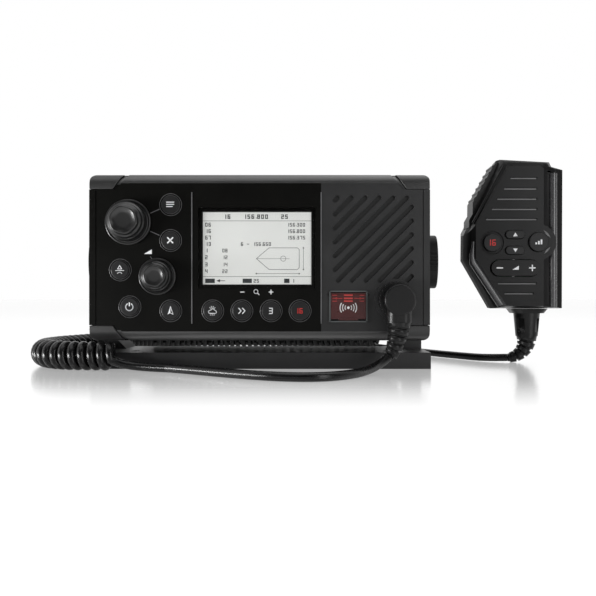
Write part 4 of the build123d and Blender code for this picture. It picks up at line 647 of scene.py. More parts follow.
def sweep(path: Sequence[Vector], radii: Sequence[float] | float, sides: int = 14) -> MeshData:
    """Sweeps a circle along a path, with a frame that doesn't twist.

    Args:
        path: points in metres.
        radii: one radius in mm, or one for each point.
        sides: how many faces go round.

    Returns:
        The vertices and faces of a closed tube.
    """
    count = len(path)
    sizes = [radii] * count if isinstance(radii, (int, float)) else list(radii)
    vertices: list[Vector] = []
    across = Vector()
    for index, here in enumerate(path):
        ahead = path[min(index + 1, count - 1)] - path[max(index - 1, 0)]
        ahead.normalize()
        if index == 0:
            across = ahead.orthogonal().normalized()
        across = (across - ahead * across.dot(ahead)).normalized()
        other = ahead.cross(across)
        for side in range(sides):
            angle = 2.0 * math.pi * side / sides
            offset = across * math.cos(angle) + other * math.sin(angle)
            vertices.append(here + offset * sizes[index] * MM)
    faces = []
    for index in range(count - 1):
        low = index * sides
        for side in range(sides):
            after = (side + 1) % sides
            faces.append([low + side, low + after, low + sides + after, low + sides + side])
    faces.append(list(range(sides))[::-1])
    faces.append([(count - 1) * sides + side for side in range(sides)])
    return vertices, faces


def join(*parts: MeshData) -> MeshData:
    """Puts several shapes into one.

    Args:
        parts: the vertices and faces of each.

    Returns:
        All their vertices and faces.
    """
    vertices: list[Vector] = []
    faces: list[list[int]] = []
    for more, shapes in parts:
        start = len(vertices)
        vertices.extend(more)
        faces.extend([[start + index for index in shape] for shape in shapes])
    return vertices, faces


def prism(outline: Sequence[Pair], front_mm: float, back_mm: float) -> MeshData:
    """A flat shape in X and Z, given a thickness along Y.

    Args:
        outline: its corners in mm.
        front_mm: the Y of its front.
        back_mm: the Y of its back.

    Returns:
        The vertices and faces of a closed solid.
    """
    count = len(outline)
    vertices = [point(x, y, z) for y in (front_mm, back_mm) for x, z in outline]
    faces = [list(range(count)), [count + index for index in range(count)][::-1]]
    for index in range(count):
        after = (index + 1) % count
        faces.append([index, count + index, count + after, after])
    return vertices, faces


def arc(centre: Pair, radius: float, start: float, end: float, steps: int = 20) -> list[Pair]:
    """Points on an arc, its ends among them, with its angles in degrees."""
    angles = [math.radians(start + (end - start) * step / steps) for step in range(steps + 1)]
    return [(centre[0] + radius * math.cos(a), centre[1] + radius * math.sin(a)) for a in angles]


def slot_outline(centre: Pair, length: float, width: float, tilt: float = 0.0, steps: int = 8) -> list[Pair]:
    """Outline of a slot with round ends.

    Args:
        centre: its middle.
        length: the distance between the centres of its ends.
        width: its width.
        tilt: its angle in degrees.
        steps: how many faces each end has.

    Returns:
        Its corners.
    """
    turn = math.radians(tilt)
    along = (math.cos(turn) * length / 2, math.sin(turn) * length / 2)
    right = (centre[0] + along[0], centre[1] + along[1])
    left = (centre[0] - along[0], centre[1] - along[1])
    half = width / 2
    return arc(right, half, tilt - 90, tilt + 90, steps) + arc(left, half, tilt + 90, tilt + 270, steps)


def crescent(radius: float, width: float, start: float, end: float, steps: int = 16) -> list[Pair]:
    """Outline of a crescent around the origin, with its angles in degrees.

    Args:
        radius: the radius of its outer edge.
        width: its width in the middle.
        start: the angle of one tip.
        end: the angle of the other tip.
        steps: how many faces each edge has.

    Returns:
        Its corners.
    """
    outer = arc((0.0, 0.0), radius, start, end, steps)
    inner = []
    for step in range(steps - 1, 0, -1):
        share = step / steps
        scale = 1.0 - width / radius * math.sin(math.pi * share)
        x, z = outer[step]
        inner.append((x * scale, z * scale))
    return outer + inner


class Legend:
    """Thin printed or moulded figures on an upright face, drawn in millimetres.

    Attributes:
        DIGIT_WIDTH: how wide a digit is, as a share of its height.
        DIGIT_GAP: the gap after a digit, in strokes.
    """

    DIGIT_WIDTH = 0.52
    DIGIT_GAP = 2.4

    def __init__(
        self,
        front_mm: float,
        proud_mm: float = 0.06,
        origin: Pair = (0.0, PIVOT_Z),
        depth_mm: float = 0.06,
    ) -> None:
        """Starts an empty drawing.

        Args:
            front_mm: the Y of the surface that it is on.
            proud_mm: how far it stands in front of that surface.
            origin: X and Z of the drawing's own origin.
            depth_mm: how far it goes in behind that surface.
        """
        self.front = front_mm - proud_mm
        self.back = front_mm + depth_mm
        self.origin = origin
        self.parts: list[MeshData] = []

    @classmethod
    def on(cls, node: str) -> Legend:
        """An empty drawing on a key's front, counted from the key's middle."""
        return cls(Model.front(node), SIGN_PROUD, Model.middle(node))

    def shape(self, outline: Iterable[Pair]) -> None:
        """Adds a filled shape."""
        placed = [(x + self.origin[0], z + self.origin[1]) for x, z in outline]
        self.parts.append(prism(placed, self.front, self.back))

    def stroke(self, line: Sequence[Pair], width: float) -> None:
        """Adds a line that is round at its ends and corners.

        Args:
            line: its corners.
            width: how thick it is.
        """
        for start, end in zip(line, line[1:]):
            middle = ((start[0] + end[0]) / 2, (start[1] + end[1]) / 2)
            length = math.hypot(end[0] - start[0], end[1] - start[1])
            tilt = math.degrees(math.atan2(end[1] - start[1], end[0] - start[0]))
            self.shape(slot_outline(middle, length, width, tilt, 4))

    def bar(self, left: float, bottom: float, right: float, top: float) -> None:
        """Adds a filled rectangle."""
        self.shape([(left, bottom), (right, bottom), (right, top), (left, top)])

    def minus(self, middle: Pair, half: float, width: float) -> None:
        """Adds a minus sign that reaches half to each side of its middle."""
        x, z = middle
        self.stroke([(x - half, z), (x + half, z)], width)

    def plus(self, middle: Pair, half: float, width: float) -> None:
        """Adds a plus sign.

        Args:
            middle: its middle.
            half: how far it reaches to each side of that.
            width: how thick it is.
        """
        x, z = middle
        self.minus(middle, half, width)
        self.stroke([(x, z - half), (x, z + half)], width)

    @classmethod
    def pitch(cls, height: float, width: float) -> float:
        """From one digit to the next, for a height and a stroke."""
        return height * cls.DIGIT_WIDTH + width * cls.DIGIT_GAP

    def digits(self, text: str, left: float, bottom: float, height: float, width: float) -> None:
        """Adds plain numbers made of straight segments.

        Args:
            text: digits, full stops and spaces.
            left: where the first one starts.
            bottom: the foot of the digits.
            height: how tall they are.
            width: how thick their strokes are.
        """
        reach = height * self.DIGIT_WIDTH
        half = width / 2
        for letter in text:
            if letter == ".":
                self.bar(left, bottom, left + width, bottom + width)
                left += 2.0 * width
                continue
            for segment in SEGMENTS.get(letter, ""):
                (x0, z0), (x1, z1) = SEGMENT_ENDS[segment]
                self.bar(
                    left + x0 * reach - half,
                    bottom + min(z0, z1) * height - half,
                    left + x1 * reach + half,
                    bottom + max(z0, z1) * height + half,
                )
            left += self.pitch(height, width)

    def build(self, name: str, finish: Finish, body: str) -> bpy.types.Object:
        """Makes the drawing a piece of its own.

        Args:
            name: the piece's name.
            finish: what it is printed in.
            body: the body that it moves with.

        Returns:
            The piece.
        """
        return add_piece(name, join(*self.parts), finish, body)


SEGMENT_ENDS = {
    "a": ((0, 1), (1, 1)),
    "b": ((1, 1), (1, 0.5)),
    "c": ((1, 0.5), (1, 0)),
    "d": ((0, 0), (1, 0)),
    "e": ((0, 0.5), (0, 0)),
    "f": ((0, 1), (0, 0.5)),
    "g": ((0, 0.5), (1, 0.5)),
}
SEGMENTS = {
    "0": "abcdef",
    "1": "bc",
    "2": "abged",
    "3": "abgcd",
    "4": "fgbc",
    "5": "afgcd",
    "6": "afgedc",
    "7": "abc",
    "8": "abcdefg",
    "9": "abcdfg",
    "-": "g",
}


# ---------------------------------------------------------------------------
# Repeated shapes
# ---------------------------------------------------------------------------
class Socket(Enum):
    """Kinds of input that a tree takes."""

    WHOLE = "NodeSocketInt"
    LENGTH = "NodeSocketFloat"
    VECTOR = "NodeSocketVector"
    SHAPE = "NodeSocketGeometry"
    FINISH = "NodeSocketMaterial"


class Repeater:
    """A Geometry Nodes tree with named inputs, which sets out copies of a small shape."""

    def __init__(self, name: str, takes: dict[str, Socket]) -> None:
        """Starts a tree.

        Args:
            name: the tree's name.
            takes: its inputs, apart from the geometry that it is put on and the finish.
        """
        self.tree = bpy.data.node_groups.new(name, "GeometryNodeTree")
        self.tree.interface.new_socket("Geometry", in_out="OUTPUT", socket_type=Socket.SHAPE.value)
        self.keys: dict[str, str] = {}
        for label, kind in {"Geometry": Socket.SHAPE, **takes, "Finish": Socket.FINISH}.items():
            made = self.tree.interface.new_socket(label, in_out="INPUT", socket_type=kind.value)
            self.keys[label] = made.identifier
        self.entry = self.tree.nodes.new("NodeGroupInput")

    def add(
        self, kind: str, links: dict[str | int, object] | None = None, **settings: object
    ) -> bpy.types.Node:
        """Adds one node.

        Args:
            kind: the node's type name.
            links: for each of its input sockets, an output socket or a value.
            settings: values for its own properties.

        Returns:
            The node.
        """
        node = self.tree.nodes.new(kind)
        for key, value in settings.items():
            setattr(node, key, value)
        for key, value in (links or {}).items():
            if isinstance(value, bpy.types.NodeSocket):
                self.tree.links.new(value, node.inputs[key])
            else:
                node.inputs[key].default_value = value
        return node

    def given(self, label: str) -> bpy.types.NodeSocket:
        """The output socket of one of the tree's inputs."""
        return self.entry.outputs[label]

    def wire_ring(self, steps: int, wire_steps: int) -> bpy.types.NodeSocket:
        """Adds a ring of wire, sized by the inputs Radius and Wire.

        Args:
            steps: how many faces go round the ring.
            wire_steps: how many faces go round the wire.

        Returns:
            The socket with its mesh.
        """
        ring, wire = (
            self.add("GeometryNodeCurvePrimitiveCircle", {"Radius": self.given(label), "Resolution": count})
            for label, count in (("Radius", steps), ("Wire", wire_steps))
        )
        curves = {"Curve": ring.outputs["Curve"], "Profile Curve": wire.outputs["Curve"]}
        return self.add("GeometryNodeCurveToMesh", curves).outputs["Mesh"]

    def close(
        self,
        points: bpy.types.NodeSocket,
        shape: bpy.types.NodeSocket,
        turn: object,
        scale: object = (1.0, 1.0, 1.0),
    ) -> Repeater:
        """Puts a copy on each point, makes the copies real, finishes them and ends the tree.

        Args:
            points: where the copies go.
            shape: what is copied.
            turn: how each copy is turned, as a socket or a value.
            scale: how large each copy is, as a socket or a value.

        Returns:
            The repeater itself.
        """
        links = {"Points": points, "Instance": shape, "Rotation": turn, "Scale": scale}
        copies = self.add("GeometryNodeInstanceOnPoints", links)
        real = self.add("GeometryNodeRealizeInstances", {"Geometry": copies.outputs["Instances"]})
        dressed = self.add(
            "GeometryNodeSetMaterial",
            {"Geometry": real.outputs["Geometry"], "Material": self.given("Finish")},
        )
        self.add("NodeGroupOutput", {"Geometry": dressed.outputs["Geometry"]})
        return self

    def grow(
        self, name: str, base: MeshData, values: dict[str, object], finish: Finish, body: str
    ) -> bpy.types.Object:
        """Makes a plain mesh with the tree.

        Args:
            name: the piece's name.
            base: the points, or points and edges, that the tree starts from, in metres.
            values: what its inputs are.
            finish: what the piece is finished in.
            body: the body that it moves with.

        Returns:
            The piece.
        """
        mesh = bpy.data.meshes.new(name)
        mesh.from_pydata([tuple(place) for place in base[0]], base[1], [])
        made = new_object(name, mesh)
        live = made.modifiers.new("repeat", "NODES")
        live.node_group = self.tree
        for label, value in {**values, "Finish": finish.material()}.items():
            live[self.keys[label]] = value
        apply_modifiers(made)
        finish_mesh(made.data)
        enter_piece(made, finish, body)
        return made


def ring_repeater() -> Repeater:
    """A tree that puts a wire ring on each point, facing along Y."""
    made = Repeater("rings", {"Radius": Socket.LENGTH, "Wire": Socket.LENGTH})
    return made.close(made.given("Geometry"), made.wire_ring(56, 8), (QUARTER, 0.0, 0.0))


def rod_repeater() -> Repeater:
    """A tree that sets out rods in a straight row, each turned the same way.

    Returns:
        The tree, which starts from any geometry and doesn't use it.
    """
    takes = {
        "Count": Socket.WHOLE,
        "Start": Socket.VECTOR,
        "Step": Socket.VECTOR,
        "Turn": Socket.VECTOR,
        "Radius": Socket.LENGTH,
        "Length": Socket.LENGTH,
    }
    made = Repeater("rods", takes)
    row = made.add(
        "GeometryNodeMeshLine",
        {
            "Count": made.given("Count"),
            "Start Location": made.given("Start"),
            "Offset": made.given("Step"),
        },
        mode="OFFSET",
    )
    rod = made.add(
        "GeometryNodeMeshCylinder",
        {"Vertices": 12, "Radius": made.given("Radius"), "Depth": made.given("Length")},
    )
    return made.close(row.outputs["Mesh"], rod.outputs["Mesh"], made.given("Turn"))


def collar_repeater() -> Repeater:
    """A tree that sets out collars along a line, smaller towards its end.

    Returns:
        The tree, which starts from points joined by edges.
    """
    takes = {
        "Count": Socket.WHOLE,
        "Radius": Socket.LENGTH,
        "Wire": Socket.LENGTH,
        "End Scale": Socket.LENGTH,
    }
    made = Repeater("collars", takes)
    line = made.add("GeometryNodeMeshToCurve", {"Mesh": made.given("Geometry")})
    places = made.add(
        "GeometryNodeCurveToPoints",
        {"Curve": line.outputs["Curve"], "Count": made.given("Count")},
        mode="COUNT",
    )
    order = made.add("GeometryNodeInputIndex")
    last = made.add("ShaderNodeMath", {0: made.given("Count"), 1: 1.0}, operation="SUBTRACT")
    size = made.add(
        "ShaderNodeMapRange",
        {
            "Value": order.outputs["Index"],
            "From Max": last.outputs[0],
            "To Min": 1.0,
            "To Max": made.given("End Scale"),
        },
    )
    ring = made.wire_ring(40, 10)
    return made.close(places.outputs["Points"], ring, places.outputs["Rotation"], size.outputs["Result"])


def line_base(path: Sequence[Vector]) -> MeshData:
    """Points joined by edges, for a tree that follows a line."""
    return list(path), [[index, index + 1] for index in range(len(path) - 1)]


# ---------------------------------------------------------------------------
# Studio
# ---------------------------------------------------------------------------
@dataclass(frozen=True)
class Lamp:
    """A rectangular lamp that points at a place.

    Attributes:
        name: what it is called.
        place: where it hangs, in metres.
        target: the place that it points at, in metres.
        size: its width and height, in metres.
        watts: its power.
    """

    name: str
    place: Triple
    target: Triple
    size: Pair
    watts: float

    def build(self) -> None:
        """Makes the lamp."""
        data = bpy.data.lights.new(self.name, "AREA")
        data.shape = "RECTANGLE"
        data.size, data.size_y = self.size
        data.energy = self.watts
        lamp = new_object(self.name, data)
        lamp.location = self.place
        aim = Vector(self.target) - Vector(self.place)
        lamp.rotation_euler = aim.to_track_quat("-Z", "Y").to_euler()


@dataclass
class Studio:
    """The camera, a white floor and plain soft light, with places in metres.

    Attributes:
        camera: where the camera stands; it looks level along +Y.
        lens: its focal length on a 36 mm frame, mm.
        floor_size: side of the floor.
        floor_drop: how far it lies under the radio's feet.
        bounce: how much light the floor throws back at the radio.
        shade: how strongly shadows show on the floor.
        glow: how white it is without a lamp.
        mirror: share of the floor's look that is reflection, beside the radio.
        mirror_ends: Y from where the reflection grows and where it is full.
        mirror_blur: roughness of that reflection.
        world_ends: Y of the direction up to which the backdrop is dim, and of that from
            which it is white.
        world_light: its strength in those two directions.
        lamps: the lamps.
    """

    camera: Triple = (0.0219, -0.437, 0.041)
    lens: float = 41.0
    floor_size: float = 40.0
    floor_drop: float = 5e-5
    bounce: float = 0.72
    shade: float = 0.24
    glow: float = 0.885
    mirror: float = 0.62
    mirror_ends: Pair = (-0.215, -0.075)
    mirror_blur: float = 0.16
    world_ends: Pair = (-0.35, 0.45)
    world_light: Pair = (0.04, 1.0)
    lamps: tuple[Lamp, ...] = (
        Lamp("overhead", (0.10, -0.10, 0.95), (0.02, 0.0, 0.03), (1.3, 0.7), 3.6),
        Lamp("right panel", (0.52, -0.66, 0.22), (0.10, -0.05, 0.06), (0.30, 0.70), 2.2),
        Lamp("left edge", (-1.0, -0.30, 0.35), (-0.05, 0.0, 0.06), (0.35, 0.9), 1.4),
        Lamp("low left", (-0.34, -0.20, 0.02), (-0.07, -0.05, 0.08), (0.22, 0.035), 1.0),
    )

    def build(self) -> None:
        """Makes the camera, floor, world and lamps."""
        self.make_camera()
        self.make_floor()
        self.make_world()
        for lamp in self.lamps:
            lamp.build()

    def make_camera(self) -> None:
        """Makes the scene's camera."""
        data = bpy.data.cameras.new("camera")
        data.sensor_width = 36.0
        data.lens = self.lens
        data.clip_start = 0.01
        eye = new_object("camera", data)
        eye.location = self.camera
        eye.rotation_euler = (QUARTER, 0.0, 0.0)
        bpy.context.scene.camera = eye

    def make_floor(self) -> None:
        """Makes a white glossy floor that keeps the shadow and a short reflection."""
        half = self.floor_size / 2
        signs = ((-1, -1), (1, -1), (1, 1), (-1, 1))
        mesh = bpy.data.meshes.new("floor")
        mesh.from_pydata([(x * half, y * half, -self.floor_drop) for x, y in signs], [], [[0, 1, 2, 3]])
        mesh.materials.append(self.floor_material())
        new_object("floor", mesh)

    def floor_material(self) -> bpy.types.Material:
        """Makes the floor's material.

        Returns:
            A plain white for the radio's light, and for the eye a glowing white with its mirror.
        """
        made = bpy.data.materials.new("white floor")
        shader = Shader(made)
        plain, shaded = (
            shader.add("ShaderNodeBsdfDiffuse", {"Color": (grey, grey, grey, 1.0)})
            for grey in (self.bounce, self.shade)
        )
        glow = shader.add("ShaderNodeEmission", {"Strength": self.glow})
        white = shader.add("ShaderNodeAddShader")
        shader.link(shaded.outputs["BSDF"], white.inputs[0])
        shader.link(glow.outputs["Emission"], white.inputs[1])
        mirror = shader.add("ShaderNodeBsdfGlossy", {"Roughness": self.mirror_blur, "Color": WHITE})
        share = shader.along_y("Object", self.mirror_ends, (0.0, self.mirror), "SMOOTHSTEP")
        looks = shader.mix(share, white.outputs["Shader"], mirror.outputs["BSDF"])
        seen = shader.seen_by("Is Camera Ray", "Is Glossy Ray", "Is Transmission Ray")
        shader.close(shader.mix(seen, plain.outputs["BSDF"], looks))
        return made

    def make_world(self) -> None:
        """Makes a backdrop that is white to the eye, and lights the radio from behind."""
        world = bpy.data.worlds.new("studio")
        bpy.context.scene.world = world
        shader = Shader(world)
        soft = shader.add("ShaderNodeBackground", {"Color": WHITE})
        shader.link(shader.along_y("Generated", self.world_ends, self.world_light), soft.inputs["Strength"])
        white = shader.add("ShaderNodeBackground", {"Strength": 1.0, "Color": WHITE})
        seen = shader.seen_by("Is Camera Ray", "Is Transmission Ray")
        backdrop = shader.mix(seen, soft.outputs["Background"], white.outputs["Background"])
        shader.close(backdrop, "ShaderNodeOutputWorld")
        bpy.context.scene.view_settings.view_transform = "Standard"


# ---------------------------------------------------------------------------
# Cords
# ---------------------------------------------------------------------------
# Points, in metres, that steer the smooth lines of the leads and of the coil's axis.
FRONT_LEAD: list[Triple] = [
    (0.0718, -0.0643, 0.0087),
    (0.0668, -0.0678, 0.0053),
    (0.0600, -0.0770, 0.0029),
    (0.0505, -0.0935, 0.0025),
    (0.0345, -0.1070, 0.0025),
    (0.0145, -0.1060, 0.0025),
    (-0.0045, -0.0960, 0.0025),
    (-0.0225, -0.0835, 0.0025),
    (-0.0410, -0.0695, 0.0025),
    (-0.0595, -0.0585, 0.0025),
    (-0.0779, -0.0550, 0.0025),
]
COIL_ROUTE: list[Triple] = [
    (-0.0784, -0.0546, 0.0084),
    (-0.0980, -0.0552, 0.0084),
    (-0.1170, -0.0485, 0.0084),
    (-0.1300, -0.0325, 0.0084),
    (-0.1335, -0.0110, 0.0084),
    (-0.1275, 0.0110, 0.0084),
    (-0.1190, 0.0310, 0.0084),
    (-0.1130, 0.0540, 0.0084),
    (-0.1060, 0.0780, 0.0084),
    (-0.0940, 0.1000, 0.0084),
    (-0.0745, 0.1170, 0.0084),
    (-0.0500, 0.1260, 0.0084),
    (-0.0245, 0.1295, 0.0084),
    (0.0010, 0.1290, 0.0084),
    (0.0220, 0.1265, 0.0084),
    (0.0400, 0.1225, 0.0084),
    (0.0570, 0.1160, 0.0084),
    (0.0725, 0.1070, 0.0084),
    (0.0855, 0.0955, 0.0084),
]
BACK_LEAD: list[Triple] = [
    (0.0858, 0.0952, 0.0025),
    (0.0970, 0.0775, 0.0025),
    (0.1060, 0.0570, 0.0025),
    (0.1165, 0.0375, 0.0025),
    (0.1280, 0.0195, 0.0025),
    (0.1380, 0.0050, 0.0025),
    (0.1462, -0.0014, 0.0027),
    (0.1554, -0.0030, 0.0030),
]


def smooth_line(points: Sequence[Triple], fineness: int = 14) -> list[Vector]:
    """Reads points from a smooth spline through a route.

    Args:
        points: the route's points, in metres, which are the spline's control points.
        fineness: how many points each stretch gives.

    Returns:
        Points on the spline.
    """
    curve = bpy.data.curves.new("route", "CURVE")
    curve.dimensions = "3D"
    curve.resolution_u = fineness
    spline = curve.splines.new("NURBS")
    spline.points.add(len(points) - 1)
    for control, place in zip(spline.points, points):
        control.co = (*place, 1.0)
    spline.order_u = 3
    spline.use_endpoint_u = True
    holder = bpy.data.objects.new("route", curve)
    bpy.context.scene.collection.objects.link(holder)
    bpy.context.view_layer.update()
    graph = bpy.context.evaluated_depsgraph_get()
    mesh = bpy.data.meshes.new_from_object(holder.evaluated_get(graph))
    line = [vertex.co.copy() for vertex in mesh.vertices]
    bpy.data.objects.remove(holder)
    bpy.data.curves.remove(curve)
    bpy.data.meshes.remove(mesh)
    return line


def measure(line: Sequence[Vector]) -> float:
    """Length of a line of points."""
    return sum((after - before).length for before, after in zip(line, line[1:]))


def along_line(line: Sequence[Vector], count: int) -> list[Vector]:
    """Spaces points evenly on a line, its ends among them.

    Args:
        line: the line's own points.
        count: how many points to space.

    Returns:
        The new points.
    """
    total = measure(line)
    spaced = [line[0].copy()]
    walked = 0.0
    for before, after in zip(line, line[1:]):
        step = (after - before).length
        while len(spaced) < count - 1 and walked + step >= total * len(spaced) / (count - 1):
            share = (total * len(spaced) / (count - 1) - walked) / step
            spaced.append(before.lerp(after, share))
        walked += step
    spaced.append(line[-1].copy())
    return spaced


@dataclass
class Cords:
    """The microphone's cord: a straight lead, the curly stretch and a lead back.

    Attributes:
        radius: the jacket's radius, mm.
        coil_radius: from the coil's axis to the middle of the jacket, mm.
        turns: how many turns the curly stretch has.
        steps: points in each turn.
        settle: share of the coil in which its turns open or close at each end.
        crowding: how much closer its turns lie in its second half.
        waver: size and pace of the slow changes in how close they lie.
    """

    radius: float = 2.4
    coil_radius: float = 5.9
    turns: int = 77
    steps: int = 22
    settle: float = 0.014
    crowding: float = 1.13
    waver: tuple[Pair, Pair] = ((0.05, 41.0), (0.03, 97.0))

    def curly_line(self) -> list[Vector]:
        """Winds the curly stretch round its axis.

        Returns:
            Points along it, the first and the last of which are at its lowest.
        """
        count = self.turns * self.steps + 1
        axis = along_line(smooth_line(COIL_ROUTE), count)
        rates = []
        for index in range(count):
            share = index / (count - 1)
            edge = min(1.0, min(share, 1.0 - share) / self.settle)
            rate = edge**2 * (3.0 - 2.0 * edge) * (self.crowding if share > 0.5 else 1.0)
            rates.append(rate * (1.0 + sum(size * math.sin(share * pace) for size, pace in self.waver)))
        total = sum(rates)
        line = []
        turned = 0.0
        for index, here in enumerate(axis):
            ahead = axis[min(index + 1, count - 1)] - axis[max(index - 1, 0)]
            across = UP.cross(ahead.normalized())
            angle = 2.0 * math.pi * self.turns * turned / total
            offset = across * math.sin(angle) - UP * math.cos(angle)
            line.append(here + offset * self.coil_radius * MM)
            turned += rates[index]
        return line

    @staticmethod
    def eased(first: list[Vector], second: list[Vector], reach: int = 14, passes: int = 60) -> list[Vector]:
        """Joins two lines and eases the corner where they meet.

        Args:
            first: the line that comes first.
            second: the line that goes on from it.
            reach: how many points to each side of the corner move.
            passes: how often they do.

        Returns:
            Points on the joined line.
        """
        path = first[:-2] + second[2:]
        middle = len(first) - 2
        for _ in range(passes):
            for index in range(max(1, middle - reach), min(len(path) - 1, middle + reach)):
                path[index] = (path[index - 1] + path[index + 1]) / 2
        return path

    def build(self) -> None:
        path = self.eased(smooth_line(FRONT_LEAD), self.curly_line())
        curly = add_piece("curly_cord", sweep(path, self.radius), FINISH.cord, None)
        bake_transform(curly)
        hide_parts("cord_front_lead", "cord_coil")
        LOG.info("curly_cord: %.3f m", measure(path))
        back = smooth_line(BACK_LEAD)
        back_lead = add_piece("back_lead", sweep(back, self.radius), FINISH.cord, None)
        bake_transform(back_lead)
        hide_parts("cord_back_lead")
        LOG.info("back_lead: %.3f m", measure(back))


# ---------------------------------------------------------------------------
# Housing
# ---------------------------------------------------------------------------
@dataclass
class PlainPieces:
    """Pieces whose modelled shape is right, and which get a finish of their own."""

    def build(self) -> None:
        """Dresses the nodes inside the housing and behind it."""
        dress(FINISH.board, "keypad_board", "main_board", "mic_board")
        dress(FINISH.switch, "key_switches")
        dress(FINISH.encoder, "channel_encoder", "volume_encoder", "channel_shaft", "volume_shaft")
        dress(FINISH.speaker, "speaker_driver", "mic_speaker", "mic_capsule")
        dress(FINISH.seal, "housing_gasket", "friction_washers")
        dress(FINISH.steel, "housing_screws", "handset_screws", "handset_pins")
        dress(FINISH.dark_steel, "distress_hinge_pin")
        dress(FINISH.socket, "mic_socket", "network_socket", "power_inlet")
        dress(FINISH.plated, "antenna_socket")
        dress(FINISH.distress, "distress_button")
        dress(FINISH.lcd_case, "lcd_module")
        dress(FINISH.window, "display_window")
        dress(FINISH.chassis, "chassis", "rear_heatsink")


class FacePart(IntEnum):
    """Parts of the face moulding, in the order of their finishes."""

    DARK = 0
    # Faces right of the second divider, whose lighter grey is painted light from the right.
    SPEAKER_PANEL_PAINTED_LIGHT = 1
    # Sloped faces of the top and bottom bars, which get a painted highlight.
    ROUNDED_BAR_PAINTED_HIGHLIGHT = 2


@dataclass
class Housing:
    """The face moulding, its corner caps, the lines on it and the bracket.

    Attributes:
        divider_x: where the two upright dividers stand.
        divider_ends: their lower and upper ends.
        divider_half: half their width.
        divider_proud: how far they stand out of the face.
        slots: left, bottom, right and top of the loudspeaker's slots.
        slot_depth: depth of the floor of those slots.
        slot_floor: thickness of that floor.
        flat_height: half the height of the face's flat part, within its rounded bars.
        lean: how far a face leans at least where it is part of a rounded bar.
        moulded: the other moulded nodes, with their finish and the width of their edges.
    """

    divider_x: Pair = (-38.6, 35.1)
    divider_ends: Pair = (-37.8, 37.1)
    divider_half: float = 0.28
    divider_proud: float = 0.3
    slots: Box = (41.0, -15.2, 88.6, 36.0)
    slot_depth: float = 1.5
    slot_floor: float = 0.8
    flat_height: float = 40.5
    lean: float = 0.05
    moulded: tuple[tuple[str, Finish, float], ...] = (
        ("corner_caps", FINISH.cap, 0.45),
        ("bracket", FINISH.bracket, 0.6),
        ("clamp_knob_left", FINISH.clamp, 0.25),
        ("clamp_knob_right", FINISH.clamp, 0.25),
    )

    def part_of_face(self, middle: Vector, normal: Vector) -> FacePart:
        """Tells which finish a face of the moulding gets.

        Args:
            middle: the middle of the face, in metres.
            normal: the way that it looks.

        Returns:
            The part that it belongs to.
        """
        height = abs(middle.z / MM - PIVOT_Z)
        # Sloped faces of the top and bottom bars get a painted highlight.
        if height > self.flat_height and abs(normal.z) > self.lean and normal.y < -self.lean:
            return FacePart.ROUNDED_BAR_PAINTED_HIGHLIGHT
        # Faces right of the second divider get a lighter grey, painted light from the right.
        right = middle.x / MM > self.divider_x[1]
        return FacePart.SPEAKER_PANEL_PAINTED_LIGHT if right else FacePart.DARK

    def build(self) -> None:
        """Makes the large moulded pieces with softened edges."""
        # The second finish paints the light from the right, the third a highlight on the bars.
        others = (FINISH.speaker_panel_painted_light, FINISH.bar)
        refine("front_bezel", FINISH.moulding, 0.3, 2, self.divider_x[1], others, self.part_of_face)
        for node, finish, edge in self.moulded:
            refine(node, finish, edge)
        lines = Legend(FRONT_Y - self.divider_proud)
        low, high = self.divider_ends
        for x in self.divider_x:
            lines.bar(x - self.divider_half, low, x + self.divider_half, high)
        lines.build("divider_lines", FINISH.trim, "radio")
        floor = Legend(FRONT_Y + self.slot_depth, 0.0, depth_mm=self.slot_floor)
        floor.bar(*self.slots)
        floor.build("speaker_slot_floor", FINISH.grille_floor, "radio")


